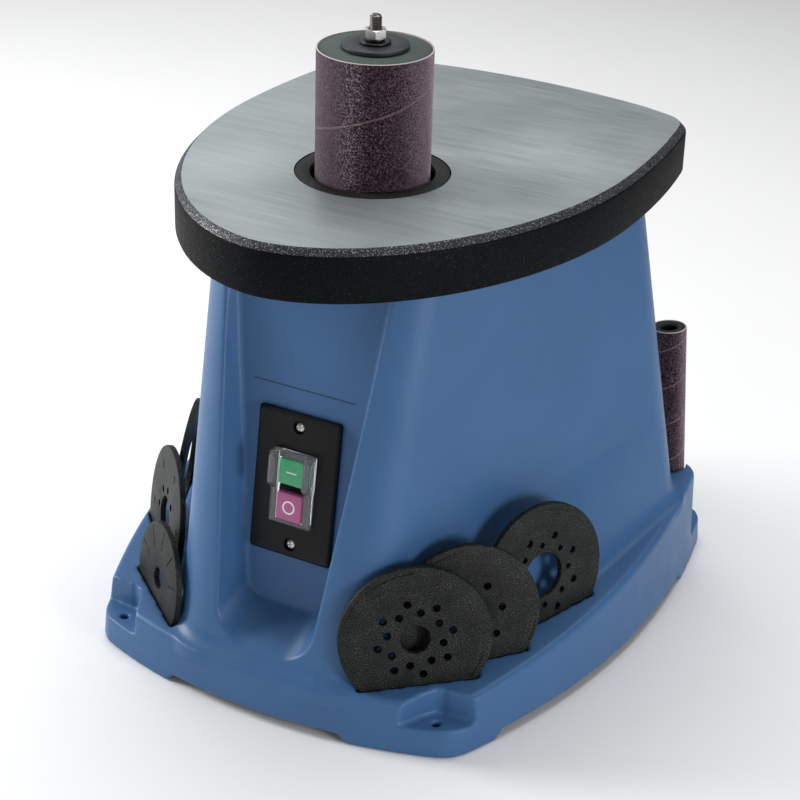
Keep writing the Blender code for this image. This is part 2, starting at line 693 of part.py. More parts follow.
def make_chassis(steel, cast, parent):
    bm = bmesh.new()
    add_box(bm, (-63.0, -60.0, TOP_PLATE[0]), (63.0, 158.0, TOP_PLATE[1]))
    top = to_object("chassis_top_plate", bm, cast, parent)
    holes = [(x, y, 6.4, 200.0, 300.0) for x, y in columns()] + [(GUIDE_X, 0, 5.3, 200.0, 300.0)]
    cut(top, drill("top_plate_holes", holes, parent, 12))
    cut(top, drill("bearing_seat", [(0, 0, 24.3, 200.0, 300.0)], parent, 24))
    outline = [
        (-63.0, -38.0), (63.0, -38.0), (63.0, 158.0), (-63.0, 158.0), (-63.0, 96.0), (-106.0, 96.0),
        (-106.0, 40.0), (-63.0, 40.0),
    ]
    bm = bmesh.new()
    add_prism(bm, outline, *LOW_PLATE)
    low = to_object("chassis_bottom_plate", bm, cast, parent)
    holes = [(x, y, 6.4, 80.0, 150.0) for x, y in columns()] + [(GUIDE_X, 0, 5.3, 80.0, 150.0)]
    cut(low, drill("bottom_plate_holes", holes, parent, 12))
    cut(low, drill("shaft_clearance", [(0, 0, 12.0, 80.0, 150.0)], parent, 16))
    names = ("front_right", "front_left", "rear_right", "rear_left")
    rod = rod_profile(6.0, 100.0, DECK_TOP - 4.0 - FIT)
    for (x, y), name in zip(columns(), names):
        turned(f"chassis_column_{name}", rod, 12, steel, parent, (x, y, 0))
    turned("guide_rod", rod_profile(5.0, 103.0, 268.0), 12, steel, parent, (GUIDE_X, 0, 0))


def make_spindle_drive(steel, cast, brass, parent):
    tube("upper_bearing", 12.3, 24.0, TOP_PLATE[0], TOP_PLATE[1], 24, steel, parent)
    turned(
        "spindle_pulley",
        [
            (12.0, 273.0), (12.0, 254.0), (33.5, 254.0), (33.5, 253.4), (32.0, 253.4), (32.0, 240.6),
            (33.5, 240.6), (33.5, 240.0), (10.0, 240.0), (10.0, 196.0), (8.3, 196.0), (8.3, 273.0),
        ], 32, cast, parent,
    )
    make_worm(steel, parent)
    make_worm_wheel(brass, parent)
    make_crank(steel, parent)
    bm = bmesh.new()
    add_box(bm, (-12.0, -58.0, 236.0), (12.0, -37.5, TOP_PLATE[0] - FIT))
    bracket = to_object("gear_bracket", bm, cast, parent)
    cheeks = [((x, -47.0, 200.0), (x + 4.0, -29.0, 237.5)) for x in (-12.0, 8.0)]
    join(bracket, box_tool("bracket_cheeks", cheeks, parent))
    across = (0, math.radians(90), 0)
    cut(bracket, drill("axle_hole", [(-WHEEL_Z, WHEEL_Y, 5.3, -40.0, 40.0)], parent, 16, across))


def make_worm(material, parent):
    """A sleeve with one square helical thread, swept by turning and lifting a small section."""
    bm = bmesh.new()
    per_turn, turns, pitch, root = 16, 5, 4.03, 12.2
    start = 201.0
    section = [(root - 0.6, -1.5), (WORM_RADIUS, -0.8), (WORM_RADIUS, 0.8), (root - 0.6, 1.5)]
    rings = []
    for i in range(per_turn * turns + 1):
        a = 2 * math.pi * i / per_turn
        lift = start + pitch * i / per_turn
        rings.append([bm.verts.new((r * math.cos(a), r * math.sin(a), lift + z)) for r, z in section])
    add_skin(bm, rings)
    thread = to_object("worm_thread", bm, None, parent)
    worm = tube("worm", 10.3, root, 197.0, 226.0, per_turn, material, parent)
    join(worm, thread)


def make_worm_wheel(material, parent):
    outline = []
    for i in range(WHEEL_TEETH):
        for share, radius in ((0.0, 20.6), (0.3, WHEEL_RADIUS), (0.55, WHEEL_RADIUS), (0.85, 20.6)):
            a = 2 * math.pi * (i + share) / WHEEL_TEETH
            outline.append((radius * math.cos(a), radius * math.sin(a)))
    bm = bmesh.new()
    add_prism(bm, outline, -6.0, 6.0)
    across = (0, math.radians(90), 0)
    wheel = to_object("worm_wheel", bm, material, parent, (0, WHEEL_Y, WHEEL_Z), across)
    cut(wheel, drill("wheel_bore", [(0, 0, 5.3, -20.0, 20.0)], parent, 16, across, (0, WHEEL_Y, WHEEL_Z)))


def make_crank(material, parent):
    """The wheel's axle with a crank disc and its pin, which stands at mid stroke."""
    across = (0, math.radians(90), 0)
    place = (0, WHEEL_Y, WHEEL_Z)
    axle = turned("crank_axle", rod_profile(5.0, -17.0, 14.0), 16, material, parent, place, across)
    disc = drill("crank_disc", [(0, 0, 13.0, 12.7, 17.2)], parent, 24, across, place)
    pin = drill("crank_pin", [(0, STROKE / 2, 3.0, 15.0, 19.4)], parent, 12, across, place)
    join(axle, disc, pin)


def make_carriage(material, steel, parent):
    """Holds the spindle's lower bearing; its yoke takes the crank pin's lift."""
    bm = bmesh.new()
    add_prism(bm, circle(20.0, 24), 158.0, 184.0)
    carriage = to_object("oscillating_carriage", bm, material, parent)
    arms = [((-53.0, -7.5, 158.5), (-12.0, 7.5, 183.5)), ((12.0, -7.0, 158.6), (24.6, 7.0, 183.6))]
    join(carriage, box_tool("carriage_arms", arms, parent))
    join(carriage, box_tool("carriage_link", [((20.2, -54.0, 158.2), (25.0, 7.4, 183.8))], parent))
    join(carriage, box_tool("carriage_yoke", [((20.0, -53.8, 158.8), (25.2, -21.0, 228.0))], parent))
    cut(carriage, drill("bearing_cup", [(0, 0, 16.3, 162.0, 200.0)], parent, 24))
    cut(carriage, drill("collar_hole", [(0, 0, 12.0, 150.0, 170.0)], parent, 16))
    cut(carriage, drill("guide_bore", [(GUIDE_X, 0, 5.3, 150.0, 200.0)], parent, 12))
    slot = [((10.0, WHEEL_Y - 12.5, WHEEL_Z - 4.2), (40.0, WHEEL_Y + 12.5, WHEEL_Z + 4.2))]
    cut(carriage, box_tool("yoke_slot", slot, parent))
    tube("carriage_bearing", 8.3, 16.0, 166.0, 178.0, 24, steel, parent)


def loop_round(first, second, gap):
    """A belt's path round two circles on the Y axis, each (y, radius)."""
    (y1, r1), (y2, r2) = first, second
    tilt = math.degrees(math.asin((r1 - r2) / (y2 - y1)))
    lower = arc((0, y1), r1 + gap, 180 - tilt, 360 + tilt, 14)
    upper = arc((0, y2), r2 + gap, tilt, 180 - tilt, 12)
    return lower + upper


def make_belt(material, parent):
    pulleys = (0.0, PULLEY_RADIUS), (MOTOR_Y, MOTOR_PULLEY_RADIUS)
    bm = bmesh.new()
    outer, inner = loop_round(*pulleys, 2.7), loop_round(*pulleys, 0.5)
    rings = []
    for outline, z in ((outer, BELT_BOTTOM), (outer, BELT_TOP), (inner, BELT_TOP), (inner, BELT_BOTTOM)):
        rings.append([bm.verts.new((x, y, z)) for x, y in outline])
    count = len(outer)
    for a, b in zip(rings, rings[1:] + rings[:1]):
        for i in range(count):
            j = (i + 1) % count
            bm.faces.new((a[i], a[j], b[j], b[i]))
    to_object("drive_belt", bm, material, parent)


def make_motor(shell, steel, copper, dark, parent):
    place = (0, MOTOR_Y, 0)
    tube("motor_housing", 55.0, 58.0, 122.5, 222.0, 32, shell, parent, place)
    seat = LOW_PLATE[1] + FIT
    turned(
        "motor_bottom_cap",
        [(58.0, 122.2), (58.0, seat), (7.4, seat), (7.4, 128.0), (16.0, 128.0), (16.0, 122.2)],
        32, shell, parent, place,
    )
    turned(
        "motor_top_cap",
        [(7.4, 236.0), (16.0, 236.0), (16.0, 231.0), (58.0, 229.0), (58.0, 222.3), (7.4, 222.3)],
        32, shell, parent, place,
    )
    tube("motor_stator", 33.0, 54.7, 140.0, 200.0, 32, copper, parent, place)
    tube("motor_rotor", 7.3, 32.4, 142.0, 198.0, 24, steel, parent, place)
    turned("motor_shaft", rod_profile(7.0, 116.0, 255.5), 16, steel, parent, place)
    fan = tube("motor_fan", 7.3, 15.0, 204.0, 218.0, 16, dark, parent, place)
    blades = bmesh.new()
    for i in range(8):
        blade = bmesh.new()
        add_box(blade, (12.0, -1.0, 205.0), (48.0, 1.0, 217.0))
        blade.transform(Matrix.Rotation(math.radians(45 * i), 4, "Z"))
        copy_into(blades, blade)
    join(fan, to_object("fan_blades", blades, None, parent, place))
    turned(
        "motor_pulley",
        [
            (23.9, 254.0), (23.9, 253.4), (22.4, 253.4), (22.4, 240.6), (23.9, 240.6), (23.9, 240.0),
            (7.3, 240.0), (7.3, 254.0),
        ], 24, steel, parent, place,
    )
    turned("run_capacitor", rod_profile(18.0, LOW_PLATE[1] + FIT, 172.0), 20, dark, parent, (-84.0, 68.0, 0))


# ---------------------------------------------------------------- assembly

def empty(name, parent=None, location=(0, 0, 0), rotation=(0, 0, 0)):
    made = bpy.data.objects.new(name, None)
    bpy.context.scene.collection.objects.link(made)
    made.parent = parent
    made.location = Vector(location) * MM
    made.rotation_euler = rotation
    return made


def main():
    for obj in list(bpy.data.objects):
        bpy.data.objects.remove(obj)
    blue = finish("moulded_blue", (0.085, 0.19, 0.39), 0.42)
    iron = finish("ground_iron", (0.30, 0.30, 0.29), 0.38, 0.9)
    black = finish("black_plastic", (0.02, 0.021, 0.02), 0.5)
    rubber = finish("drum_rubber", (0.03, 0.035, 0.03), 0.8)
    abrasive = finish("abrasive_cloth", (0.19, 0.10, 0.11), 0.9)
    steel = finish("zinc_steel", (0.55, 0.55, 0.52), 0.3, 1.0)
    cast = finish("cast_aluminium", (0.5, 0.5, 0.51), 0.5, 0.9)
    brass = finish("bronze", (0.55, 0.38, 0.16), 0.35, 1.0)
    copper = finish("winding_copper", (0.50, 0.22, 0.10), 0.45, 0.8)
    green = finish("button_green", (0.05, 0.35, 0.15), 0.35)
    red = finish("button_red", (0.62, 0.12, 0.32), 0.35)
    clear = finish("clear_plastic", (0.75, 0.78, 0.78), 0.15, 0.0, 0.35)

    machine = empty("machine", None, (0, SPINDLE_Y, 0))
    lean = math.atan(LEAN_PANEL)
    panel = empty("panel", machine, (0, panel_y(PANEL_HEIGHT), PANEL_HEIGHT), (math.pi / 2 - lean, 0, 0))
    make_housing(blue, machine, panel)
    make_bottom_cover(black, machine)
    make_table(iron, machine)
    make_table_bolts(steel, machine)
    make_insert("table_insert", black, machine, INSERT_RADIUS, 41.2, location=(0, 0, TABLE_TOP - 0.1))
    make_stored_inserts(black, machine)
    make_spindle(steel, black, rubber, abrasive, machine)
    make_spares(rubber, abrasive, machine)
    make_switch(black, clear, green, red, steel, panel)
    make_dust_chamber(black, machine)
    make_gland(black, machine)
    make_chassis(steel, cast, machine)
    make_spindle_drive(steel, cast, brass, machine)
    make_carriage(cast, steel, machine)
    make_belt(rubber, machine)
    make_motor(cast, steel, copper, black, machine)


main()
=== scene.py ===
"""Oscillating spindle sander: the looks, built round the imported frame.

Shapes are made in millimetres, counted from the spindle's axis and the ground, and each piece is
then put on its CAD body. X is the machine's right, -Y its front.
"""

import math

import bmesh
import bpy
from mathutils import Matrix, Vector


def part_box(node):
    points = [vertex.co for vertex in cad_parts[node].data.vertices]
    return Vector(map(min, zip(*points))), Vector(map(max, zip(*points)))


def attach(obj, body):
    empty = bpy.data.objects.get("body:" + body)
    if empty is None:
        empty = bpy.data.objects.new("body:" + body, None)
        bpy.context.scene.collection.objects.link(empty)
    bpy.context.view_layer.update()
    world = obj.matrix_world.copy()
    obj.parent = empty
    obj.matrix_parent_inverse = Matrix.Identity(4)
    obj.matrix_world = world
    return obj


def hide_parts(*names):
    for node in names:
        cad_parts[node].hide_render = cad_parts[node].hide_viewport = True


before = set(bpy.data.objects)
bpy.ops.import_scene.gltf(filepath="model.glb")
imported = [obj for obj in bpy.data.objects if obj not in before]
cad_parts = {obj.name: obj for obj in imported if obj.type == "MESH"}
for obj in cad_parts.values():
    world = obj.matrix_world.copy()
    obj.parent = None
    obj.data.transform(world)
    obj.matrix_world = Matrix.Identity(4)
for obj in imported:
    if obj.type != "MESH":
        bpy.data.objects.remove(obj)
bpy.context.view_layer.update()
MM = 0.001


def middle(node):
    low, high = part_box(node)
    return (low + high) / 2 / MM


def top(node):
    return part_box(node)[1].z / MM


def bottom(node):
    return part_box(node)[0].z / MM


AXIS = middle("sanding_sleeve").xy
ORIGIN = Vector((AXIS.x, AXIS.y, 0))
TABLE_TOP = top("table")
TABLE_BOTTOM = bottom("table")
DECK_TOP = top("housing")
SLEEVE_TOP = top("sanding_sleeve")
SLEEVE_LOW = bottom("sanding_sleeve")

FLANGE_RISE = 0.12
BODY_TOP = 304.5
FACE_SLOPE = 0.2276
PANEL_SLOPE = 0.1407
PANEL_TOP = 340.0
WALL = 3.6
RIM_STEP = 4.5
INSERT_RADIUS = 51.1
BOLTS = [(x, y) for s in (1, -1) for x, y in ((s * 73.0, -44.0), (s * 86.0, 136.0))]
SCREWS = [(0.5, 41.7), (0.5, -41.7)]


# ---- mesh helpers

def arc(centre, radius, start, end, steps):
    points = []
    for i in range(steps + 1):
        a = math.radians(start + (end - start) * i / steps)
        points.append((centre[0] + radius * math.cos(a), centre[1] + radius * math.sin(a)))
    return points


def circle(radius, count, centre=(0, 0)):
    return arc(centre, radius, 0, 360, count)[:-1]


def mirrored(half):
    return half + [(-x, y) for x, y in reversed(half) if abs(x) > 1e-6]


def inset(outline, distance):
    """Moves a counter-clockwise outline inwards, point by point."""
    moved = []
    for i, here in enumerate(outline):
        before, after = Vector(outline[i - 1]), Vector(outline[(i + 1) % len(outline)])
        here = Vector(here)
        n1, n2 = (here - before).normalized(), (after - here).normalized()
        n1, n2 = Vector((-n1.y, n1.x)), Vector((-n2.y, n2.x))
        between = (n1 + n2).normalized()
        moved.append(tuple(here + between * (distance / max(0.5, between.dot(n1)))))
    return moved


def skin(bm, rings, closed=False, index=0):
    """Joins rings of points; caps both ends unless the rings close on themselves."""
    made = [[bm.verts.new(p) for p in ring] for ring in rings]
    count = len(made[0])
    pairs = list(zip(made, made[1:]))
    if closed:
        pairs.append((made[-1], made[0]))
    for lower, upper in pairs:
        for i in range(count):
            j = (i + 1) % count
            bm.faces.new((lower[i], lower[j], upper[j], upper[i])).material_index = index
    if not closed:
        bm.faces.new(made[0][::-1]).material_index = index
        bm.faces.new(made[-1]).material_index = index
    return made


def prism(bm, outline, low, high):
    skin(bm, [[(x, y, low) for x, y in outline], [(x, y, high) for x, y in outline]])


def turned(bm, profile, count):
    """A closed profile of (radius, z) turned about Z; a profile on the axis is capped there."""
    open_ends = profile[0][0] < 1e-6 and profile[-1][0] < 1e-6
    inner = profile[1:-1] if open_ends else profile
    rings = []
    turns = [2 * math.pi * i / count for i in range(count)]
    for r, z in inner:
        rings.append([(r * math.cos(a), r * math.sin(a), z) for a in turns])
    skin(bm, rings, closed=not open_ends)


def turn(degrees, axis="Z"):
    return Matrix.Rotation(math.radians(degrees), 4, axis)


def four_corners(x0, y0, x1, y1, radius, steps):
    """A rectangle with round corners, from its corners' centres."""
    points = []
    for centre, start in (((x1, y0), -90), ((x1, y1), 0), ((x0, y1), 90), ((x0, y0), 180)):
        points += arc(centre, radius, start, start + 90, steps)
    return points


def rounded_box(bm, low, high, radius, segments=3):
    """A box with its upright edges and its top edge rounded."""
    x0, y0, z0 = low
    x1, y1, z1 = high

    def outline(shrink):
        centres = (x0 + radius, y0 + radius, x1 - radius, y1 - radius)
        return four_corners(*centres, max(radius - shrink, 0.05), segments)

    edge = min(radius, (z1 - z0) * 0.45)
    rings = [[(x, y, z0) for x, y in outline(0)]]
    for i in range(segments + 1):
        a = math.radians(90 * i / segments)
        rings.append([(x, y, z1 - edge + edge * math.sin(a)) for x, y in outline(edge * (1 - math.cos(a)))])
    skin(bm, rings)


def merge(bm, other):
    """Adds one half-made mesh to another and frees it."""
    mesh = bpy.data.meshes.new("merged")
    other.to_mesh(mesh)
    other.free()
    bm.from_mesh(mesh)
    bpy.data.meshes.remove(mesh)


def tidy(bm):
    """Welds doubled points and turns every face outwards."""
    bmesh.ops.remove_doubles(bm, verts=bm.verts, dist=1e-4)
    bmesh.ops.recalc_face_normals(bm, faces=bm.faces)
    if bm.calc_volume(signed=True) < 0:
        bmesh.ops.reverse_faces(bm, faces=bm.faces)


def raw_object(name, bm, matrix=None):
    """A helper solid, still in millimetres about the spindle's axis."""
    if matrix is not None:
        bm.transform(matrix)
    tidy(bm)
    mesh = bpy.data.meshes.new(name)
    bm.to_mesh(mesh)
    bm.free()
    obj = bpy.data.objects.new(name, mesh)
    bpy.context.scene.collection.objects.link(obj)
    return obj


def less(tool):
    return tool, "DIFFERENCE"


def plus(tool):
    return tool, "UNION"


def solve(target, steps, extra=()):
    """Runs Booleans and other modifiers on a helper solid and keeps the result."""
    for tool, operation in steps:
        modifier = target.modifiers.new(tool.name, "BOOLEAN")
        modifier.operation = operation
        modifier.object = tool
        modifier.solver = "EXACT"
    for kind, settings in extra:
        modifier = target.modifiers.new(kind.lower(), kind)
        for key, value in settings.items():
            setattr(modifier, key, value)
    bpy.context.view_layer.update()
    graph = bpy.context.evaluated_depsgraph_get()
    result = bpy.data.meshes.new_from_object(target.evaluated_get(graph))
    target.modifiers.clear()
    target.data = result
    for tool, _ in steps:
        bpy.data.objects.remove(tool)
    return target


def finish_piece(obj, materials, body, replaced=(), place=None, sharp=40):
    """Scales a helper solid to metres, puts it in the row frame and on its body."""
    place = place or Matrix.Identity(4)
    kinds = [face.material_index for face in obj.data.polygons]
    obj.data.materials.clear()
    for material in materials:
        obj.data.materials.append(material)
    obj.data.polygons.foreach_set("material_index", kinds)
    obj.data.transform(Matrix.Scale(MM, 4))
    obj.data.shade_smooth()
    if sharp < 180:
        obj.data.set_sharp_from_angle(angle=math.radians(sharp))
    world = place.copy()
    world.translation = (world.translation + ORIGIN) * MM
    obj.matrix_world = world
    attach(obj, body)
    if replaced:
        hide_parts(*replaced)
    return obj


def piece(name, bm, materials, body, replaced=(), place=None, sharp=40):
    """A visible piece straight from its half-made mesh."""
    return finish_piece(raw_object(name, bm), materials, body, replaced, place, sharp)


# ---- materials

class Finish:
    """Builds one material's nodes; inputs are numbers, colours or other nodes' sockets."""

    def __init__(self, name):
        self.material = bpy.data.materials.new(name)
        self.material.use_nodes = True
        self.tree = self.material.node_tree
        self.shader = self.tree.nodes["Principled BSDF"]
        self.place = self.tree.nodes.new("ShaderNodeTexCoord").outputs["Object"]

    def put(self, socket, value):
        if isinstance(value, bpy.types.NodeSocket):
            self.tree.links.new(value, socket)
        elif isinstance(value, tuple) and len(value) == 3 and socket.type == "RGBA":
            socket.default_value = (*value, 1.0)
        else:
            socket.default_value = value

    def node(self, kind, values, **settings):
        made = self.tree.nodes.new("ShaderNode" + kind)
        for key, value in settings.items():
            setattr(made, key, value)
        for key, value in values.items():
            self.put(made.inputs[key], value)
        return made

    def math(self, operation, *values):
        return self.node("Math", dict(enumerate(values)), operation=operation).outputs[0]

    def stretched(self, scale):
        return self.node("Mapping", {"Vector": self.place, "Scale": scale}).outputs[0]

    def noise(self, scale, detail=3.0, vector=None):
        values = {"Vector": vector or self.place, "Scale": scale, "Detail": detail}
        return self.node("TexNoise", values).outputs["Fac"]

    def cells(self, scale, output="Distance", feature="F1"):
        values = {"Vector": self.place, "Scale": scale}
        return self.node("TexVoronoi", values, feature=feature).outputs[output]

    def between(self, value, low, high, start=0.0, end=1.0):
        values = {"Value": value, "From Min": low, "From Max": high, "To Min": start, "To Max": end}
        return self.node("MapRange", values).outputs["Result"]

    def blend(self, factor, one, two):
        made = self.tree.nodes.new("ShaderNodeMix")
        made.data_type = "RGBA"
        self.put(made.inputs[0], factor)
        self.put(made.inputs[6], one)
        self.put(made.inputs[7], two)
        return made.outputs[2]

    def bump(self, height, strength, distance):
        values = {"Height": height, "Strength": strength, "Distance": distance}
        return self.node("Bump", values).outputs["Normal"]

    def close(self, **values):
        for key, value in values.items():
            self.put(self.shader.inputs[key.replace("_", " ")], value)
        return self.material


def darker(colour, share):
    """A colour scaled by a share."""
    return tuple(c * share for c in colour)


def moulded(name, colour, roughness=0.45, grain=1500.0, strength=0.18, coat=0.0, shine=0.3):
    """Moulded plastic: a fine cast grain, slight colour drift and uneven gloss."""
    f = Finish(name)
    drift = f.between(f.noise(18.0, 4.0), 0.3, 0.7)
    fine = f.noise(grain, 3.0)
    broad = f.noise(160.0, 2.0)
    height = f.math("ADD", fine, f.math("MULTIPLY", broad, 0.35))
    rough = f.between(f.noise(70.0, 4.0), 0.3, 0.7, roughness - 0.04, roughness + 0.05)
    return f.close(
        Base_Color=f.blend(drift, darker(colour, 0.93), darker(colour, 1.06)), Roughness=rough,
        Normal=f.bump(height, strength, 0.00012), Coat_Weight=coat, Coat_Roughness=0.2,
        Specular_IOR_Level=shine,
    )


def housing_blue():
    """The moulded blue, with the fine joint line across the panel above the switch."""
    f = Finish("satin_blue_moulding")
    blue = (0.046, 0.124, 0.275)
    split = f.node("SeparateXYZ", {"Vector": f.place})
    drift = f.between(f.noise(14.0, 4.0), 0.3, 0.7)
    colour = f.blend(drift, darker(blue, 0.95), darker(blue, 1.05))
    line_height, half_length, behind = 0.2145, 0.0385, -0.0775
    away = f.math("ABSOLUTE", f.math("SUBTRACT", split.outputs["Z"], line_height))
    line = f.between(away, 0.0003, 0.0007, 1.0, 0.0)
    side = f.math("LESS_THAN", f.math("ABSOLUTE", split.outputs["X"]), half_length)
    ahead = f.math("LESS_THAN", split.outputs["Y"], behind)
    line = f.math("MULTIPLY", line, f.math("MULTIPLY", side, ahead))
    fine = f.noise(1300.0, 3.0)
    height = f.math("SUBTRACT", fine, f.math("MULTIPLY", line, 9.0))
    rough = f.between(f.noise(60.0, 4.0), 0.3, 0.7, 0.36, 0.44)
    return f.close(
        Base_Color=f.blend(line, colour, darker(blue, 0.35)), Roughness=rough,
        Normal=f.bump(height, 0.16, 0.00012), Specular_IOR_Level=0.3,
    )


def speckled(name):
    """Coarsely textured black plastic with paler scuffed grains."""
    f = Finish(name)
    grain = f.noise(1350.0, 3.0)
    specks = f.between(grain, 0.52, 0.66)
    wear = f.between(f.noise(60.0, 4.0), 0.35, 0.65, 0.3, 1.0)
    colour = f.blend(f.math("MULTIPLY", specks, wear), (0.005, 0.006, 0.0055), (0.088, 0.100, 0.088))
    height = f.math("ADD", grain, f.math("MULTIPLY", f.cells(900.0), 0.5))
    rough = f.between(specks, 0.0, 1.0, 0.55, 0.36)
    return f.close(
        Base_Color=colour, Roughness=rough, Normal=f.bump(height, 0.55, 0.0003), Specular_IOR_Level=0.18,
    )


def ground_iron():
    """Ground cast iron: fine marks along one direction, faint cloudy tarnish."""
    f = Finish("ground_table_iron")
    marks = f.noise(1.0, 6.0, f.stretched((24.0, 1500.0, 300.0)))
    broad = f.noise(1.0, 3.0, f.stretched((10.0, 210.0, 100.0)))
    cloud = f.noise(9.0, 4.0)
    tone = f.math("ADD", f.math("MULTIPLY", marks, 0.5), f.math("MULTIPLY", broad, 0.25))
    tone = f.math("ADD", tone, f.math("MULTIPLY", cloud, 0.25))
    colour = f.blend(f.between(tone, 0.38, 0.62), (0.27, 0.305, 0.305), (0.40, 0.445, 0.45))
    rough = f.between(f.math("ADD", marks, cloud), 0.7, 1.3, 0.32, 0.5)
    return f.close(
        Base_Color=colour, Metallic=0.55, Roughness=rough, Normal=f.bump(marks, 0.3, 0.00008),
        Anisotropic=0.35,
    )


def wrinkle_paint():
    """Black textured paint with small bright glints."""
    f = Finish("black_wrinkle_paint")
    cells = f.cells(1300.0, feature="SMOOTH_F1")
    fine = f.noise(1700.0, 3.0)
    height = f.math("ADD", cells, f.math("MULTIPLY", fine, 0.6))
    glint = f.between(f.noise(1500.0, 2.0), 0.65, 0.76, 0.04, 0.9)
    return f.close(
        Base_Color=f.blend(f.noise(220.0, 4.0), (0.0025, 0.003, 0.0035), (0.006, 0.007, 0.008)),
        Roughness=f.between(glint, 0.08, 1.0, 0.55, 0.22), Normal=f.bump(height, 0.55, 0.0003),
        Specular_IOR_Level=glint,
    )


def worn_bevel():
    """The table's turned edge: dark casting skin worn through to bright iron in specks."""
    f = Finish("worn_bevel_iron")
    grain = f.noise(1200.0, 4.0)
    bare = f.between(grain, 0.56, 0.74)
    return f.close(
        Base_Color=f.blend(bare, (0.02, 0.022, 0.024), (0.62, 0.64, 0.65)),
        Metallic=f.between(bare, 0.0, 1.0, 0.2, 0.9),
        Roughness=f.between(bare, 0.0, 1.0, 0.55, 0.3), Normal=f.bump(grain, 0.6, 0.0003),
        Specular_IOR_Level=0.3,
    )


def brushed(name, colour, roughness, scale):
    """Metal with turning or drawing marks."""
    f = Finish(name)
    marks = f.noise(1.0, 4.0, f.stretched(scale))
    cloud = f.noise(90.0, 3.0)
    tone = f.between(f.math("ADD", marks, cloud), 0.7, 1.3)
    return f.close(
        Base_Color=f.blend(tone, darker(colour, 0.82), darker(colour, 1.1)), Metallic=1.0,
        Roughness=f.between(tone, 0.0, 1.0, roughness - 0.06, roughness + 0.1),
        Normal=f.bump(marks, 0.12, 0.00005),
    )


def cast(name, colour):
    """Rough cast metal."""
    f = Finish(name)
    lumps = f.math("ADD", f.noise(420.0, 4.0), f.math("MULTIPLY", f.cells(300.0), 0.5))
    return f.close(
        Base_Color=f.blend(f.noise(60.0, 4.0), darker(colour, 0.85), darker(colour, 1.12)),
        Metallic=0.85, Roughness=0.55, Normal=f.bump(lumps, 0.3, 0.0002),
    )


def rubber(name, colour, roughness=0.72):
    """Rubber or painted steel without gloss."""
    f = Finish(name)
    height = f.math("ADD", f.noise(1800.0, 3.0), f.math("MULTIPLY", f.noise(240.0, 3.0), 0.6))
    tone = f.between(f.noise(45.0, 5.0), 0.3, 0.7)
    return f.close(
        Base_Color=f.blend(tone, darker(colour, 0.82), darker(colour, 1.15)),
        Roughness=f.between(tone, 0.0, 1.0, roughness - 0.06, roughness + 0.08),
        Normal=f.bump(height, 0.25, 0.00015), Specular_IOR_Level=0.3,
    )


def abrasive(name, seam, climb):
    """Grit on cloth: dark purple grains, pale grains whose pink is partly their own tint and partly a painted
    glint, and the pale joint that winds up the sleeve.

    The joint is at height seam where the angle is zero, and it climbs by climb for each radian.
    """
    f = Finish(name)
    grains = f.cells(1700.0, "Color")
    value = f.node("SeparateColor", {"Color": grains}).outputs[0]
    edge = f.cells(1700.0, "Distance")
    soft = f.noise(520.0, 3.0)
    # The pink on the brightest grains is partly their own pale tint and partly a painted glint.
    dark, mid, grain_pink_and_painted_glint = (0.007, 0.003, 0.005), (0.025, 0.010, 0.017), (0.24, 0.13, 0.18)
    colour = f.blend(f.between(soft, 0.35, 0.65), dark, mid)
    colour = f.blend(f.between(value, 0.84, 0.97), colour, grain_pink_and_painted_glint)
    split = f.node("SeparateXYZ", {"Vector": f.place})
    around = f.math("ARCTAN2", split.outputs["Y"], split.outputs["X"])
    level = f.math("SUBTRACT", split.outputs["Z"], f.math("MULTIPLY", around, climb))
    level = f.math("SUBTRACT", level, seam)
    pitch = 2 * math.pi * climb
    wrapped = f.math("FLOORED_MODULO", f.math("ADD", level, pitch / 2), pitch)
    line = f.between(f.math("ABSOLUTE", f.math("SUBTRACT", wrapped, pitch / 2)), 0.00035, 0.0008, 0.75, 0.0)
    colour = f.blend(line, colour, (0.22, 0.145, 0.15))
    height = f.math("ADD", f.math("MULTIPLY", edge, -1.2), f.math("MULTIPLY", value, 0.8))
    height = f.math("SUBTRACT", height, f.math("MULTIPLY", line, 1.5))
    rough = f.between(value, 0.5, 0.97, 0.7, 0.22)
    return f.close(
        Base_Color=colour, Roughness=rough, Normal=f.bump(height, 1.0, 0.0006),
        Specular_IOR_Level=f.between(value, 0.5, 0.9, 0.15, 1.0), Specular_Tint=(1.0, 0.8, 0.92, 1.0),
        Sheen_Weight=1.0, Sheen_Roughness=0.26, Sheen_Tint=(0.95, 0.72, 0.86, 1.0),
    )


def cloth_edge():
    """The sleeve's cut ends: paper and cloth backing."""
    f = Finish("sleeve_cut_edge")
    fibre = f.noise(1.0, 4.0, f.stretched((900.0, 900.0, 3000.0)))
    return f.close(
        Base_Color=f.blend(fibre, (0.34, 0.30, 0.29), (0.60, 0.55, 0.53)), Roughness=0.9,
        Normal=f.bump(fibre, 0.4, 0.0002),
    )


def clear_plastic():
    """The switch's see-through surround, faintly smoky."""
    f = Finish("smoky_clear_plastic")
    drift = f.noise(220.0, 2.0)
    return f.close(
        Base_Color=f.blend(drift, (0.82, 0.86, 0.87), (0.90, 0.93, 0.94)),
        Roughness=f.between(drift, 0.3, 0.7, 0.03, 0.08), Transmission_Weight=0.94, IOR=1.46,
        Normal=f.bump(drift, 0.05, 0.0002),
    )


def windings(name):
    """Copper wire wound in fine turns between dark laminations."""
    f = Finish(name)
    turns = f.noise(1.0, 2.0, f.stretched((40.0, 40.0, 2400.0)))
    return f.close(
        Base_Color=f.blend(f.between(turns, 0.4, 0.6), (0.10, 0.045, 0.02), (0.50, 0.23, 0.09)), Metallic=0.7,
        Roughness=0.4, Normal=f.bump(turns, 0.5, 0.0002),
    )


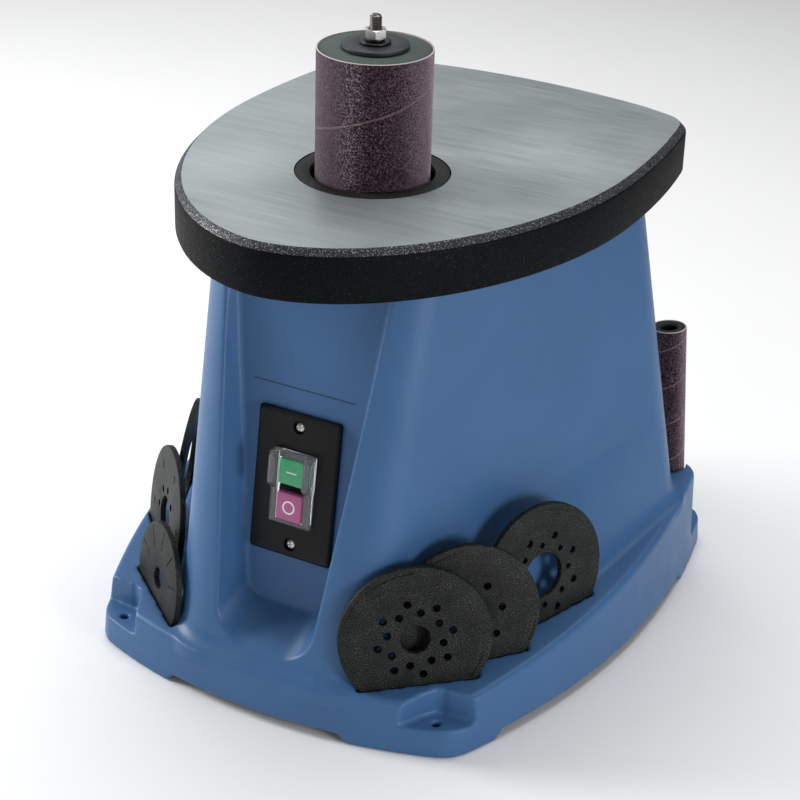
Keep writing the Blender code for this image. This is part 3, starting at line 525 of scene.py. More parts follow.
BLUE = housing_blue()
IRON = ground_iron()
RIM_PAINT = wrinkle_paint()
BEVEL = worn_bevel()
INSERT_BLACK = speckled("black_insert_plastic")
PLATE_BLACK = moulded("black_plate_plastic", (0.005, 0.0055, 0.006), 0.42, 1400.0, 0.3, 0.0, 0.2)
DUCT_BLACK = moulded("black_duct_plastic", (0.02, 0.02, 0.021), 0.5, 900.0, 0.2)
DRUM_TOP = rubber("grey_drum_rubber", (0.058, 0.078, 0.072))
DRUM_BLACK = rubber("black_drum_rubber", (0.018, 0.022, 0.021))
WASHER = rubber("grey_washer_steel", (0.026, 0.033, 0.033), 0.45)
STUD = brushed("dark_stud_steel", (0.16, 0.14, 0.13), 0.38, (300.0, 300.0, 900.0))
BELT_RUBBER = rubber("black_belt_rubber", (0.02, 0.02, 0.02))
GRIT = abrasive("brown_grit", 0.0603 + TABLE_TOP * MM, 0.012)
SPARE_GRIT = abrasive("spare_grit", 0.1023, 0.0048)
EDGE = cloth_edge()
ZINC = brushed("bright_zinc", (0.60, 0.60, 0.56), 0.3, (300.0, 300.0, 900.0))
BLACKENED = brushed("blackened_steel", (0.05, 0.052, 0.055), 0.4, (300.0, 300.0, 900.0))
STEEL = brushed("ground_steel", (0.56, 0.56, 0.57), 0.28, (500.0, 500.0, 1200.0))
ALUMINIUM = cast("cast_aluminium", (0.50, 0.50, 0.51))
BRONZE = brushed("machined_bronze", (0.55, 0.36, 0.14), 0.32, (900.0, 300.0, 300.0))
COPPER = windings("copper_windings")
GREEN = moulded("green_button_plastic", (0.065, 0.40, 0.19), 0.32, 900.0, 0.08, 0.2)
RED = moulded("red_button_plastic", (0.42, 0.105, 0.25), 0.3, 900.0, 0.08, 0.2)
MARK = moulded("white_button_ink", (0.80, 0.80, 0.78), 0.5, 900.0, 0.05)
CLEAR = clear_plastic()


# ---- outlines

# Each slot: its name, the middle of its mouth, the bearing it faces, its length and its depth.
SLOTS = (
    ("right_front", (102.3, -110.8), -53.0, 98.0, 20.4),
    ("right_middle", (127.0, -70.9), -45.0, 104.0, 20.4),
    ("right_rear", (149.7, -7.0), -24.0, 94.0, 20.6),
    ("left_front", (-102.3, -110.8), 233.0, 98.0, 26.4),
    ("left_middle", (-126.3, -67.4), 225.0, 108.0, 26.0),
    ("left_rear", (-154.0, -4.1), 204.0, 97.0, 25.5),
)
SLOT_LEAN = 8


def ring_of(count, pitch, first, size=2.8):
    return [(pitch, first + 360 * i / count, size) for i in range(count)]


# Each stored insert: radius, middle hole, dust holes, shift along its slot, centre above the flange,
# then its studs, radial grooves and arc grooves.
KINDS = {
    "right_front": (
        INSERT_RADIUS, 10.0, ring_of(8, 19.0, -10) + ring_of(8, 25.5, 12.5), 0.0, 31.6,
        ring_of(6, 38.5, 8, 2.7), (), ((47.5, 92, 128), (47.0, -38, -12), (49.0, 140, 160)),
    ),
    "right_middle": (
        INSERT_RADIUS, 13.0, ring_of(8, 25.0, 10), 7.0, 31.6, (), (), ((47.5, 100, 122), (49.0, -30, -8)),
    ),
    "right_rear": (
        INSERT_RADIUS, 16.0, ring_of(8, 22.0, 0, 2.2) + ring_of(8, 28.5, 22.5), 5.0, 31.4,
        (), (), ((47.5, 60, 84),),
    ),
    "left_front": (
        39.7, 7.5, (), 0.0, 14.2, (), [(22.0, 37.0, angle) for angle in range(15, 196, 36)], (),
    ),
    "left_middle": (INSERT_RADIUS, 14.5, ring_of(8, 20.5, 0), 7.2, 26.0, ring_of(6, 38.5, 10, 2.7), (), ()),
    "left_rear": (INSERT_RADIUS, 27.5, ring_of(10, 33.5, 0, 2.2), 0.7, 26.5, (), (), ()),
}


def flange(x, y):
    """Height of the base's top face, a plane that rises to the rear."""
    return 52.1 + FLANGE_RISE * y


def base_outline():
    """The base's rim from above: the right half, mirrored."""
    half = [(x, -154.8 + 0.00144 * x * x) for x in range(0, 127, 9)]
    for i in range(1, 8):
        t = i / 8
        x = 130.0 * (1 - t) ** 2 + 141.0 * 2 * t * (1 - t) + 146.5 * t * t
        half.append((x, -130.5 * (1 - t) ** 2 - 125.6 * 2 * t * (1 - t) - 113.0 * t * t))
    for y in range(-110, 210, 9):
        bend = 0.00102 if y < 85 else 0.00083
        half.append((186.4 - bend * (y - 85) ** 2, y))
    half += arc((145.7, 216.1), 26.0, 13, 88, 12)
    half += [(x, 246.0 - 0.0002 * x * x) for x in (140, 110, 80, 50, 20, 0)]
    return mirrored(half)


def tangent(first, second):
    """The bearing at which a line touches two circles on their outer side."""
    (x1, y1, r1), (x2, y2, r2) = first, second
    return math.atan2(y2 - y1, x2 - x1) - math.acos((r1 - r2) / math.hypot(x2 - x1, y2 - y1))


def section(z, grow=0.0):
    """The upper housing at one height: straight sides touching six corner circles."""
    down = BODY_TOP - z
    front = (51.0 - 0.03 * down, -41.05 - FACE_SLOPE * down, 38.0)
    rear = (101.0 + 0.17 * down, 142.0 + 0.04 * down, 30.0)
    bulge = (50.0 + 0.268 * down, 120.0 - 0.272 * down, 40.0)
    flat = tangent(front, rear)
    nx, ny = math.cos(flat), math.sin(flat)
    short = (front[0] - bulge[0]) * nx + (front[1] - bulge[1]) * ny + front[2] - bulge[2] + 1.0
    if short > 0:
        bulge = (bulge[0] + short * nx, bulge[1] + short * ny, bulge[2])
    right = [front, bulge, rear]
    circles = right + [(-x, y, r) for x, y, r in reversed(right)]
    bearings = [math.degrees(tangent(a, b)) for a, b in zip(circles, circles[1:] + circles[:1])]
    arcs = []
    for i, (x, y, r) in enumerate(circles):
        start, end = bearings[i - 1], bearings[i]
        while end < start:
            end += 360
        arcs.append(arc((x, y), r + grow, start, end, 6 if i in (1, 4) else 14))
    ring = []
    for i, (here, after) in enumerate(zip(arcs, arcs[1:] + arcs[:1])):
        ring += here
        (x1, y1), (x2, y2) = here[-1], after[0]
        ring += [(x1 + (x2 - x1) * k / 9, y1 + (y2 - y1) * k / 9) for k in range(1, 9)]
    return ring


def panel_y(z):
    """Where the recessed switch panel is at a height."""
    return -66.1 + PANEL_SLOPE * (z - PANEL_TOP)


def face_y(z):
    """Where the front face is at a height, beside the recess."""
    return -79.05 - FACE_SLOPE * (BODY_TOP - z)


# ---- housing

def base_solid():
    """The base with its rounded upper rim, before anything is cut from it."""
    outline = base_outline()
    rim = 4.5
    rings = [[(x, y, 0) for x, y in inset(outline, 0.6)], [(x, y, 1.0) for x, y in outline]]
    rings += [[(x, y, z) for x, y in inset(outline, 4.0 * z / 60)] for z in (8.0, 15.0)]
    for i in range(7):
        a = math.radians(15 * i)
        ring = inset(outline, 3.6 + rim * (1 - math.cos(a)))
        rings.append([(x, y, flange(x, y) - rim + rim * math.sin(a)) for x, y in ring])
    bm = bmesh.new()
    skin(bm, rings)
    return raw_object("base_solid", bm)


def body_solid():
    """The upper shell; its foot flares out to meet the sloping flange in a soft curve."""
    radius = 9.0
    rings = []

    def ring_at(height, grow, share=None):
        count = len(section(100.0))
        points = []
        levels = {}
        for i in range(count):
            z = 60.0
            for _ in range(4):
                key = round(z, 1)
                if key not in levels:
                    levels[key] = section(key, grow)
                x, y = levels[key][i]
                z = flange(x, y) + height
                if share is not None:
                    z = z + (DECK_TOP - z) * share
            points.append((x, y, z))
        return points

    rings.append(ring_at(-8.0, radius))
    for i in range(7):
        a = math.radians(15 * i)
        rings.append(ring_at(radius * (1 - math.cos(a)) - 0.12, radius * (1 - math.sin(a))))
    for i in range(1, 15):
        rings.append(ring_at(radius, 0.0, (i / 14) ** 1.15))
    bm = bmesh.new()
    skin(bm, rings)
    return raw_object("body_solid", bm)


def recess_solid(grow=0.0):
    """The tapering front recess, from the switch panel out past the face."""
    def outline(half_at_top, narrowing, foot, radius):
        def half_width(z):
            return half_at_top - narrowing * (PANEL_TOP - z) + grow
        low = foot - grow
        bend = low + radius
        wide = half_width(bend)
        levels = [345.0 - (345.0 - bend) * i / 6 for i in range(7)]
        right = [(half_width(z), z) for z in levels]
        for i in range(1, 9):
            a = math.radians(90 * i / 8)
            right.append((wide - radius + radius * math.cos(a), bend - radius * math.sin(a)))
        return right + [(-x, z) for x, z in reversed(right)]

    inner = outline(63.0, 0.115, 62.0, 16.0)
    outer = outline(67.4, 0.1086, 42.0, 24.0)
    back = [Vector((x, panel_y(z) + grow, z)) for x, z in inner]
    lip = [Vector((x, face_y(z), z)) for x, z in outer]
    past = [b + (b - a) * 1.5 for a, b in zip(back, lip)]
    bm = bmesh.new()
    skin(bm, [back, lip, past])
    return raw_object("recess", bm)


def slot_matrix(mouth, facing):
    place = Matrix.Translation((*mouth, flange(*mouth)))
    return place @ turn(facing - 90) @ turn(SLOT_LEAN, "X")


def mouth_end(facing, radius, along, above, side):
    """How far along its slot an insert still cuts the sloping flange, to one side."""
    slope = FLANGE_RISE * math.sin(math.radians(facing - 90))
    end = along
    for _ in range(6):
        end = along + side * math.sqrt(radius ** 2 - (above - slope * end) ** 2)
    return end + side


def slot_solid(chosen, grow=0.0):
    """The storage slots; each mouth is only as long as its insert is wide there."""
    bm = bmesh.new()
    for i, (place, mouth, facing, length, depth) in enumerate(SLOTS):
        if i % 3 in chosen:
            radius, _, _, along, above = KINDS[place][:5]
            box = bmesh.new()
            if grow:
                start, end, thick, deep = -length / 2 - grow, length / 2 + grow, 3.2 + grow, depth + grow
            else:
                start, end = (mouth_end(facing, radius, along, above, side) for side in (-1, 1))
                thick, deep = 2.75, depth
            prism(box, [(start, -thick), (end, -thick), (end, thick), (start, thick)], -deep, 20.0)
            box.transform(slot_matrix(mouth, facing))
            merge(bm, box)
    return raw_object("slots", bm)


def pocket_solid(grow=0.0):
    """Corner pockets: their inner walls sweep out to the rim in a long soft curve."""
    front = [(175.0, -190.0), (175.0, -105.5), (147.0, -106.0)]
    front += arc((124.0, -116.0), 8.0, 75, 150, 6)
    front += [(112.5, -118.5), (108.0, -128.0), (103.5, -138.0), (99.0, -146.0), (98.0, -190.0)]
    rear = [(126.0, 246.0), (140.0, 226.0), (163.0, 203.0), (184.0, 188.0)]
    rear += [(230.0, 188.0), (230.0, 290.0), (126.0, 290.0)]
    bm = bmesh.new()
    for outline in (front, rear):
        outline = inset(outline, -grow) if grow else outline
        for side in (1, -1):
            points = [(side * x, y) for x, y in outline]
            prism(bm, points if side > 0 else points[::-1], 19.9 - grow, 110.0)
    return raw_object("pockets", bm)


def clearances():
    """The shallow gaps under the rim that leave the corners as feet."""
    lift = 7.0
    across = [(-72.0, -1.0), (72.0, -1.0), (72.0 - lift, 6.0), (-72.0 + lift, 6.0)]
    along = [(-92.0, -1.0), (163.0, -1.0), (163.0 - lift, 6.01), (-92.0 + lift, 6.01)]
    one, two = bmesh.new(), bmesh.new()
    skin(one, [[(x, y, z) for x, z in across] for y in (-200.0, 300.0)])
    skin(two, [[(x, y, z) for y, z in along] for x in (-220.0, 220.0)])
    return raw_object("gap_across", one), raw_object("gap_along", two)


def well_matrix(x, y):
    """Where a spare drum stands in its well, leaning inwards."""
    return Matrix.Translation((x, y, flange(x, y))) @ turn(-4.3 if x > 0 else 4.3, "Y")


def rods(name, places, count=24, matrix=None):
    bm = bmesh.new()
    for x, y, radius, low, high in places:
        prism(bm, circle(radius, count, (x, y)), low, high)
    return raw_object(name, bm, matrix)


def boxes(name, places, matrix=None):
    bm = bmesh.new()
    for (x0, y0, z0), (x1, y1, z1) in places:
        prism(bm, [(x0, y0), (x1, y0), (x1, y1), (x0, y1)], z0, z1)
    return raw_object(name, bm, matrix)


FEET = [(s * x, y) for x, y in ((124.3, -120.5), (156.0, 219.0)) for s in (1, -1)]
SPARES = ((148.8, 198.4, 13.0, "26"), (-128.0, 208.0, 19.0, "38"))
WELL_DEPTH = 10.5
PLATE_HEIGHT = 148.5
PANEL = Matrix.Translation((0, panel_y(PLATE_HEIGHT), PLATE_HEIGHT))
PANEL = PANEL @ Matrix.Rotation(math.pi / 2 - math.atan(PANEL_SLOPE), 4, "X")


def housing_cavity():
    """The hollow inside: the base's room and the upper room, less the walls round each recess."""
    bm = bmesh.new()
    rings = [[(x, y, -5.0) for x, y in inset(base_outline(), 3.4)]]
    for shrink, under in ((6.8, 9.0), (10.5, 3.8)):
        rings.append([(x, y, flange(x, y) - under) for x, y in inset(base_outline(), shrink)])
    skin(bm, rings)
    low = raw_object("base_room", bm)
    steps = [less(slot_solid((i,), 2.3)) for i in range(3)]
    steps.append(less(pocket_solid(WALL)))
    for x, y, radius, _ in SPARES:
        cup = [(0, 0, radius + 4.5, -WELL_DEPTH - 4.0, 64.0)]
        steps.append(less(rods("cup", cup, 48, well_matrix(x, y))))
    solve(low, steps)
    bm = bmesh.new()
    levels = [20.0 + (DECK_TOP - 4.0 - 20.0) * i / 12 for i in range(13)]
    skin(bm, [[(x, y, z) for x, y in section(z, -WALL)] for z in levels])
    high = raw_object("body_room", bm)
    solve(high, [less(recess_solid(WALL))])
    return low, high


def make_housing():
    """One moulding: base and shell joined, hollowed and cut, then its edges softened."""
    low, high = housing_cavity()
    housing = base_solid()
    across, along = clearances()
    back = turn(-90, "X")
    cooling = [((x - 2.5, 150.0, 100.0), (x + 2.5, 200.0, 150.0)) for x in range(-40, 41, 16)]
    port_and_cord = [(0, -296.0, 19.6, 150.0, 200.0), (70.0, -110.0, 8.3, 150.0, 200.0)]
    steps = [
        less(pocket_solid()), less(across), less(along),
        plus(body_solid()), less(low), less(high),
        plus(rods("bosses", [(x, y, 7.0, 0.0, 18.9) for x, y in FEET])),
        less(recess_solid()), less(slot_solid((0, 1, 2))),
        less(rods("foot_holes", [(x, y, 3.2, -5.0, 60.0) for x, y in FEET])),
        less(rods("drum_opening", [(0, 0, 66.0, 300.0, 340.0)], 64)),
        less(rods("bolt_holes", [(x, y, 4.5, 300.0, 340.0) for x, y in BOLTS])),
        less(boxes("window", [((-15.0, -120.0, 121.5), (15.0, -60.0, 172.5))])),
        less(boxes("cooling", cooling)),
        less(rods("rear_holes", port_and_cord, 40, back)),
        less(rods("panel_holes", [(x, y, 2.1, -20.0, 6.0) for x, y in SCREWS], 16, PANEL)),
    ]
    for x, y, radius, _ in SPARES:
        stand = well_matrix(x, y)
        steps.append(less(rods("well", [(0, 0, radius + 1.5, -WELL_DEPTH, 64.0)], 48, stand)))
        steps.append(plus(rods("peg", [(0, 0, 5.2, -WELL_DEPTH - 2.0, 20.0)], 24, stand)))
    extra = ()
    extra = (
        ("REMESH", dict(mode="VOXEL", voxel_size=1.15, adaptivity=0.0)),
        ("SMOOTH", dict(factor=0.5, iterations=9)),
    )
    solve(housing, steps, extra)
    housing.name = "housing_shell"
    return finish_piece(housing, [BLUE], "frame", ["housing"], sharp=180 if extra else 40)


# ---- table

def table_outline():
    """The table's top edge: an oval front and a blunt rear with round corners."""
    half = []
    for i in range(31):
        t = math.radians(90 - 3 * i)
        half.append((146.2 * max(0.0, math.cos(t)) ** (2 / 1.8), 84.3 - 226.7 * math.sin(t)))
    half += [(146.2 - 0.00082 * (y - 84.3) ** 2, y) for y in (100, 120, 140, 160, 180)]
    half += arc((112.6, 190.2), 24.0, 6, 74, 10)
    half += [(x, 231.1 - 0.00112 * x * x) for x in (100, 80, 60, 40, 20, 0)]
    return mirrored(half)


def make_table():
    """The cast table: ground top, worn bevel, painted rim, pads and collar beneath."""
    outline = table_outline()
    rim = inset(outline, -RIM_STEP)
    bm = bmesh.new()
    rings = []
    for shrink, up in ((2.6, 0.0), (0.7, 0.6), (0.0, 2.4)):
        rings.append([(x, y, TABLE_BOTTOM + up) for x, y in inset(rim, shrink)])
    rings.append([(x, y, TABLE_TOP - 6.0) for x, y in inset(rim, 0.0)])
    for out, down in ((4.35, 4.9), (3.95, 4.1), (1.0, 1.0), (0.35, 0.35)):
        rings.append([(x, y, TABLE_TOP - down) for x, y in inset(outline, -out)])
    rings.append([(x, y, TABLE_TOP) for x, y in inset(outline, 0.2)])
    made = skin(bm, rings)
    for face in bm.faces:
        face.material_index = 1
    upper = set(made[-1])
    for face in bm.faces:
        if len(face.verts) > 4 and all(v in upper for v in face.verts):
            face.material_index = 0
        elif TABLE_TOP - 4.2 < face.calc_center_median().z < TABLE_TOP + 1.0:
            face.material_index = 2
    table = raw_object("table_casting", bm)
    table_materials = [IRON, RIM_PAINT, BEVEL]
    seat, under = DECK_TOP + 0.3, TABLE_TOP - 4
    room = bmesh.new()
    skin(room, [
        [(x, y, TABLE_BOTTOM - 5) for x, y in inset(rim, 9.0)],
        [(x, y, TABLE_TOP - 11.0) for x, y in inset(rim, 9.4)],
        [(x, y, TABLE_TOP - 9.0) for x, y in inset(rim, 11.4)],
    ], index=1)
    steps = [
        less(raw_object("underside", room)),
        plus(rods("pads", [(x, y, 13.0, seat, under) for x, y in BOLTS], 32)),
        plus(rods("collar", [(0, 0, 62.0, seat, under)], 96)),
        less(rods("insert_seat", [(0, 0, INSERT_RADIUS + 0.5, TABLE_TOP - 4.3, 350.0)], 128)),
        less(rods("drum_hole", [(0, 0, 46.0, 300.0, 350.0)], 96)),
        less(rods("threads", [(x, y, 4.3, 300.0, under) for x, y in BOLTS])),
    ]
    for tool, _ in steps:
        tool.data.polygons.foreach_set("material_index", [1] * len(tool.data.polygons))
    for solid in [table] + [tool for tool, _ in steps]:
        for material in table_materials:
            solid.data.materials.append(material)
    solve(table, steps)
    finish_piece(table, table_materials, "frame", ["table"], sharp=32)


# ---- inserts

def polar_rods(name, places, low, high, count=20):
    """Rods at (pitch radius, angle, radius) places round Z."""
    spots = []
    for pitch, angle, radius in places:
        a = math.radians(angle)
        spots.append((pitch * math.cos(a), pitch * math.sin(a), radius, low, high))
    return rods(name, spots, count)


def insert_solid(name, radius, hole, holes=(), studs=(), spokes=(), arcs=()):
    """A round insert, face up at z 0: dust holes, low studs, radial grooves and arc grooves."""
    thick = 4.0
    profile = [(hole, -thick), (radius, -thick), (radius, -1.0)]
    for i in range(1, 5):
        a = math.radians(22.5 * i)
        profile.append((radius - 0.9 + 0.9 * math.cos(a), -0.9 + 0.9 * math.sin(a)))
    profile += [(hole + 0.7, 0.0), (hole + 0.2, -0.2), (hole, -0.7)]
    bm = bmesh.new()
    turned(bm, profile, 128)
    solid = raw_object(name, bm)
    steps = []
    if studs:
        steps.append(plus(polar_rods("studs", studs, -1.0, 0.35)))
    if holes:
        steps.append(less(polar_rods("dust_holes", holes, -9.0, 9.0)))
    for start, end, angle in spokes:
        groove = [((start, -0.45, -0.6), (end, 0.45, 1.0))]
        steps.append(less(boxes("groove", groove, turn(angle))))
    for at, start, end in arcs:
        bm = bmesh.new()
        outer, inner = arc((0, 0), at, start, end, 16), arc((0, 0), at - 1.3, start, end, 16)
        prism(bm, outer + inner[::-1], -0.55, 1.0)
        steps.append(less(raw_object("arc_groove", bm)))
    return solve(solid, steps) if steps else solid


def make_inserts():
    """The ring in the table, then the six stored inserts, face outwards in their slots."""
    place = Matrix.Translation((0, 0, TABLE_TOP - 0.1))
    finish_piece(
        insert_solid("table_insert_ring", INSERT_RADIUS, 41.2), [INSERT_BLACK],
        "table_insert", ["table_insert"], place, 35,
    )
    face_out = turn(-90, "X") @ turn(180)
    for place, mouth, facing, _, _ in SLOTS:
        radius, hole, holes, along, above, *marks = KINDS[place]
        matrix = slot_matrix(mouth, facing) @ Matrix.Translation((along, 2.0, above)) @ face_out
        solid = insert_solid(f"insert_{place}", radius, hole, holes, *marks)
        finish_piece(
            solid, [INSERT_BLACK], f"insert_{place}", [f"stored_insert_{place}"], matrix, 35,
        )


# ---- spindle

def threaded(bm, radius, low, high, pitch, count=32, depth=0.55):
    """A rod's visible end: a helical thread with a chamfered tip."""
    rings = []
    levels = int((high - low) / (pitch / 6))
    for k in range(levels + 1):
        z = low + (high - low) * k / levels
        taper = max(0.0, z - (high - 1.4)) * 0.9
        ring = []
        for i in range(count):
            a = 2 * math.pi * i / count
            phase = (z / pitch - i / count) % 1.0
            r = radius - depth * abs(2 * phase - 1) - taper
            ring.append((r * math.cos(a), r * math.sin(a), z))
        rings.append(ring)
    skin(bm, rings)


def make_spindle():
    """The shaft with its thread, and what it carries: sleeve, rubber drum, washers and nut."""
    bm = bmesh.new()
    turned(bm, [
        (0, 423.2), (6.2, 423.2), (6.2, 303.2), (17.0, 303.2), (17.0, 296.0), (8.0, 296.0), (8.0, 181.5),
        (11.0, 181.5), (11.0, 178.5), (8.0, 178.5), (8.0, 165.7), (11.0, 165.7), (11.0, 162.0), (8.0, 162.0),
        (8.0, 152.8), (7.2, 152.0), (0, 152.0),
    ], 48)
    threaded(bm, 4.0, 422.0, top("spindle_shaft"), 1.25)
    piece("spindle_stud", bm, [STUD], "spindle", ["spindle_shaft"], sharp=50)

    bm = bmesh.new()
    outer, inner = 37.98, 37.0
    turned(bm, [
        (inner, SLEEVE_LOW), (outer, SLEEVE_LOW), (outer, SLEEVE_TOP - 0.35), (outer - 0.3, SLEEVE_TOP),
        (inner + 0.05, SLEEVE_TOP), (inner, SLEEVE_TOP - 0.1),
    ], 128)
    for face in bm.faces:
        middle_r = math.hypot(*face.calc_center_median().xy)
        high_up = face.calc_center_median().z > SLEEVE_TOP - 0.3
        face.material_index = 1 if (high_up or middle_r < 37.4) else 0
    piece("drum_sleeve", bm, [GRIT, EDGE], "spindle", ["sanding_sleeve"], sharp=50)

    bm = bmesh.new()
    z = top("rubber_drum")
    low = z - 119.7
    turned(bm, [
        (6.5, low), (36.7, low), (36.7, z - 1.6), (36.3, z - 0.6), (35.4, z), (7.0, z), (6.5, z - 0.5),
    ], 128)
    piece("drum_body", bm, [DRUM_TOP], "spindle", ["rubber_drum"], sharp=35)

    inner = 4.3
    for name, node, outer, material, slot in (
        ("wide_washer", "clamp_washer", 22.2, WASHER, "dark_steel"),
        ("small_flat_washer", "small_washer", 10.1, BLACKENED, "zinc_steel"),
        ("spring_washer", "lock_washer", 6.2, BLACKENED, "dark_steel"),
    ):
        low, high = bottom(node), top(node)
        c = min(0.45, (high - low) * 0.3)
        bm = bmesh.new()
        turned(bm, [
            (inner, low + c), (inner + c, low), (outer - c, low), (outer, low + c), (outer, high - c),
            (outer - c * 0.3, high - c * 0.3), (outer - c, high), (inner + c, high), (inner, high - c),
        ], 96)
        piece(name, bm, [material], "spindle", [node], sharp=50)
    make_nut()


def make_nut():
    """A hexagon nut: chamfered corners above and below, and a countersunk bore."""
    low, high = bottom("spindle_nut"), top("spindle_nut")
    bm = bmesh.new()
    prism(bm, circle(7.5, 6), low, high)
    nut = raw_object("drum_nut", bm)
    cone = bmesh.new()
    turned(cone, [(0, high), (6.5, high), (7.6, high - 0.75), (7.6, low + 0.75), (6.5, low), (0, low)], 64)
    bore = bmesh.new()
    upper = [(0, high + 1), (6.0, high + 1), (4.3, high - 0.6)]
    turned(bore, upper + [(4.3, low + 0.6), (6.0, low - 1), (0, low - 1)], 48)
    solve(nut, [(raw_object("chamfer", cone), "INTERSECT"), less(raw_object("bore", bore))])
    finish_piece(nut, [ZINC], "spindle", ["spindle_nut"], sharp=25)


def make_spares():
    """The two spare drums in their wells, each a sleeve of grit on a rubber core."""
    low = 0.3 - WELL_DEPTH
    high = low + 120.0
    for x, y, radius, size in SPARES:
        place = well_matrix(x, y)
        bm = bmesh.new()
        turned(bm, [
            (radius - 1, low), (radius, low), (radius, high - 0.3), (radius - 0.3, high), (radius - 1, high),
        ], 72)
        for face in bm.faces:
            centre = face.calc_center_median()
            if centre.z > high - 0.2 or centre.xy.length < radius - 0.6:
                face.material_index = 1
        piece(
            f"spare_grit_{size}", bm, [SPARE_GRIT, EDGE], f"spare_{size}",
            [f"spare_sleeve_{size}"], place, 50,
        )
        bm = bmesh.new()
        outer, lid = radius - 1.3, high - 0.3
        turned(bm, [
            (6.3, low), (outer, low), (outer, lid - 0.6), (outer - 0.6, lid), (7.4, lid), (6.3, lid - 1.1),
        ], 64)
        piece(
            f"spare_rubber_{size}", bm, [DRUM_BLACK], f"spare_{size}",
            [f"spare_drum_{size}"], place, 35,
        )


# ---- switch

def make_switch_plate():
    """The cover plate with its window and two sunk screw holes."""
    half_w, half_h, c = 31.2, 51.0, 2.2

    def plate_ring(shrink):
        x, y = half_w - shrink - c, half_h - shrink - c
        return four_corners(-x, -y, x, y, c, 4)

    levels = ((0.3, 0.3), (0.0, 0.6), (0.0, 2.3), (0.35, 2.8), (1.6, 3.9), (2.0, 4.0))
    bm = bmesh.new()
    skin(bm, [[(x, y, z) for x, y in plate_ring(shrink)] for shrink, z in levels])
    plate = raw_object("switch_cover_plate", bm)
    solve(plate, [
        less(boxes("plate_window", [((-14.4, -25.6, -5.0), (14.4, 22.6, 9.0))])),
        less(rods("sinks", [(x, y, 4.6, 1.4, 9.0) for x, y in SCREWS], 40)),
        less(rods("plate_holes", [(x, y, 2.1, -5.0, 9.0) for x, y in SCREWS])),
    ])
    finish_piece(plate, [PLATE_BLACK], "frame", ["switch_plate"], PANEL, 30)


def make_plate_screws():
    """Two domed screws with cross slots."""
    profile = [(0, 3.5), (1.6, 3.4), (2.8, 3.0), (3.4, 2.3), (3.4, 1.7), (1.8, 1.7), (1.8, -8.0), (0, -8.0)]
    for (x, y), name in zip(SCREWS, ("upper", "lower")):
        bm = bmesh.new()
        turned(bm, profile, 40)
        screw = raw_object(f"cross_screw_{name}", bm)
        blade = [((-2.0, -0.42, 2.3), (2.0, 0.42, 6.0))]
        solve(screw, [less(boxes("blade", blade, turn(angle))) for angle in (20, 110)])
        place = PANEL @ Matrix.Translation((x, y, 0))
        finish_piece(screw, [ZINC], "frame", [f"plate_screw_{name}"], place, 35)


def make_switch_surround():
    """The clear surround: a low frame, with tall cheeks beside the upper button."""
    bm = bmesh.new()
    rounded_box(bm, (-16.0, -27.0, 4.3), (16.0, 25.0, 7.4), 1.2)
    surround = raw_object("switch_surround", bm)
    cheeks = bmesh.new()
    for x in (-15.4, 10.8):
        cheek = bmesh.new()
        side = [(-3.0, 5.0), (24.4, 5.0), (24.4, 11.0), (21.5, 13.0), (2.5, 13.0), (-0.6, 10.0), (-3.0, 7.4)]
        skin(cheek, [[(x, y, z) for y, z in side], [(x + 4.6, y, z) for y, z in side]])
        merge(cheeks, cheek)
    solve(surround, [
        plus(raw_object("cheeks", cheeks)),
        less(boxes("button_window", [((-10.2, -24.0, 0.0), (10.2, 20.4, 20.0))])),
    ])
    finish_piece(surround, [CLEAR], "frame", ["switch_frame"], PANEL, 30)


def make_buttons():
    """The two buttons with their raised marks, a bar and a ring."""
    for kind, low, high, material in (("green", 1.9, 19.9, GREEN), ("red", -23.5, -3.9, RED)):
        bm = bmesh.new()
        rounded_box(bm, (-9.7, low, 3.4), (9.7, high, 8.72), 1.1, 4)
        mark = bmesh.new()
        y = (low + high) / 2
        if kind == "green":
            prism(mark, [(-3.9, y - 0.45), (3.9, y - 0.45), (3.9, y + 0.45), (-3.9, y + 0.45)], 8.6, 8.8)
        else:
            ring = []
            for r, z in ((4.7, 8.6), (4.7, 8.8), (3.6, 8.8), (3.6, 8.6)):
                ring.append([(x, y + v, z) for x, v in circle(r, 40)])
            skin(mark, ring, closed=True)
        for face in mark.faces:
            face.material_index = 1
        merge(bm, mark)
        node = f"{kind}_button"
        piece(f"{node}_cap", bm, [material, MARK], node, [node], PANEL, 30)


# ---- carried-over CAD nodes

def dress_nodes():
    """The remaining CAD solids keep their shapes and take finished materials."""
    corners = ("front_right", "front_left", "rear_right", "rear_left")
    dressing = {
        DUCT_BLACK: (
            "bottom_cover", "dust_chamber", "power_inlet_gland", "motor_fan", "run_capacitor", "switch_body",
        ),
        ZINC: [f"table_bolt_{corner}" for corner in corners],
        STEEL: [f"chassis_column_{corner}" for corner in corners] + [
            "guide_rod", "upper_bearing", "carriage_bearing", "crank_axle", "worm", "motor_shaft",
            "motor_rotor", "motor_pulley",
        ],
        ALUMINIUM: (
            "chassis_top_plate", "chassis_bottom_plate", "gear_bracket", "oscillating_carriage",
            "spindle_pulley", "motor_housing", "motor_top_cap", "motor_bottom_cap",
        ),
        BRONZE: ("worm_wheel",),
        COPPER: ("motor_stator",),
        BELT_RUBBER: ("drive_belt",),
    }
    for material, names in dressing.items():
        for name in names:
            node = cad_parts[name]
            node.data.materials.clear()
            node.data.materials.append(material)


# ---- stage

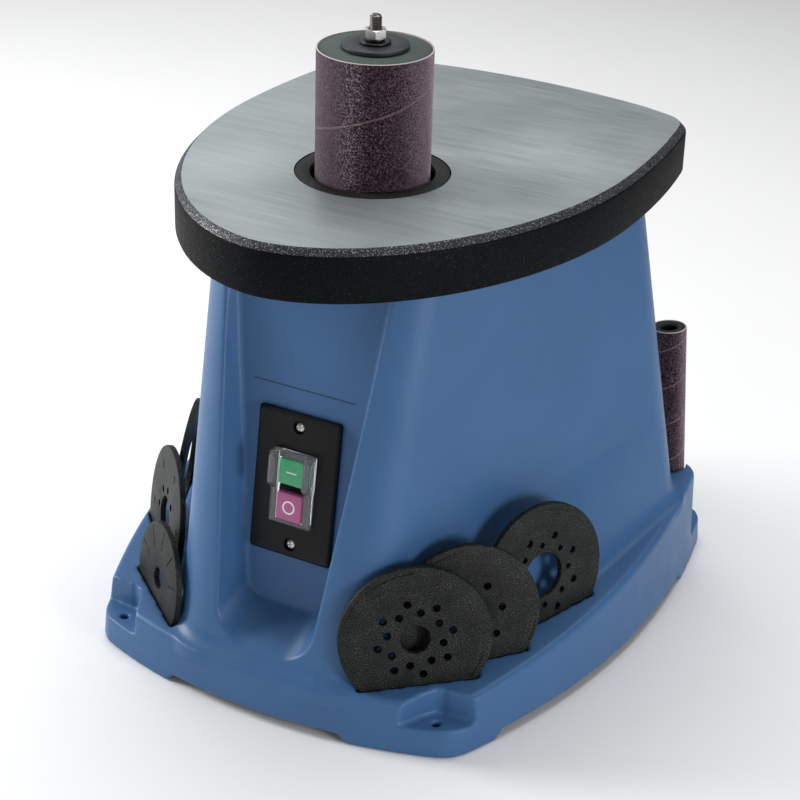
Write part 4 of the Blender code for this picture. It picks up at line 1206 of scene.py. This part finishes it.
def make_stage():
    """A pale round floor, a faint sky and five soft lamps."""
    floor = bmesh.new()
    prism(floor, circle(2600.0, 96), -8.0, -0.05)
    obj = raw_object("studio_floor", floor)
    paper = Finish("pale_paper")
    tone = paper.noise(4.0, 2.0)
    white = paper.close(Base_Color=paper.blend(tone, (0.86, 0.86, 0.86), (0.9, 0.9, 0.9)), Roughness=0.9)
    obj.data.materials.append(white)
    obj.data.transform(Matrix.Scale(MM, 4))

    world = bpy.data.worlds.new("studio")
    bpy.context.scene.world = world
    world.use_nodes = True
    world.node_tree.nodes["Background"].inputs[0].default_value = (0.93, 0.96, 1.0, 1.0)
    world.node_tree.nodes["Background"].inputs[1].default_value = 0.16

    def lamp(name, power, size, position, aim, height=None):
        data = bpy.data.lights.new(name, "AREA")
        data.energy = power
        data.shape = "RECTANGLE"
        data.size = size
        data.size_y = height or size
        light = bpy.data.objects.new(name, data)
        bpy.context.scene.collection.objects.link(light)
        light.location = position
        light.rotation_euler = (Vector(aim) - Vector(position)).to_track_quat("-Z", "Y").to_euler()

    lamp("key_left", 30.0, 0.5, (-1.65, -0.45, 0.8), (0, 0, 0.15), height=1.0)
    lamp("right_low", 12.5, 0.45, (1.6, -0.55, 0.45), (0, 0, 0.2))
    lamp("overhead", 30.0, 1.5, (-0.1, 0.5, 2.0), (0, 0.1, 0.2))
    lamp("back_left", 4.0, 1.5, (-1.5, 1.2, 1.1), (0, 0, 0.3))
    lamp("front_fill", 3.5, 0.8, (0.2, -1.9, 0.7), (0, 0, 0.1))


def make_camera():
    """The photograph's view: from the front right and above, a little rolled."""
    az, el, roll = math.radians(28.84), math.radians(26.71), math.radians(1.47)
    back = Vector((math.sin(az) * math.cos(el), -math.cos(az) * math.cos(el), math.sin(el)))
    right = Vector((math.cos(az), math.sin(az), 0))
    up = back.cross(right)
    across = right * math.cos(roll) + up * math.sin(roll)
    over = up * math.cos(roll) - right * math.sin(roll)
    data = bpy.data.cameras.new("camera")
    data.lens = 94.95
    data.sensor_width = 36.0
    data.shift_x = 0.02275
    data.shift_y = 0.0035
    camera = bpy.data.objects.new("camera", data)
    bpy.context.scene.collection.objects.link(camera)
    facing = Matrix((across, over, back)).transposed().to_4x4()
    camera.matrix_world = Matrix.Translation((0.6371, -1.1364 + AXIS.y * MM, 0.8255)) @ facing
    bpy.context.scene.camera = camera


make_housing()
make_table()
make_inserts()
make_spindle()
make_spares()
make_switch_plate()
make_plate_screws()
make_switch_surround()
make_buttons()
dress_nodes()
make_stage()
make_camera()
bpy.context.scene.view_settings.view_transform = "Standard"
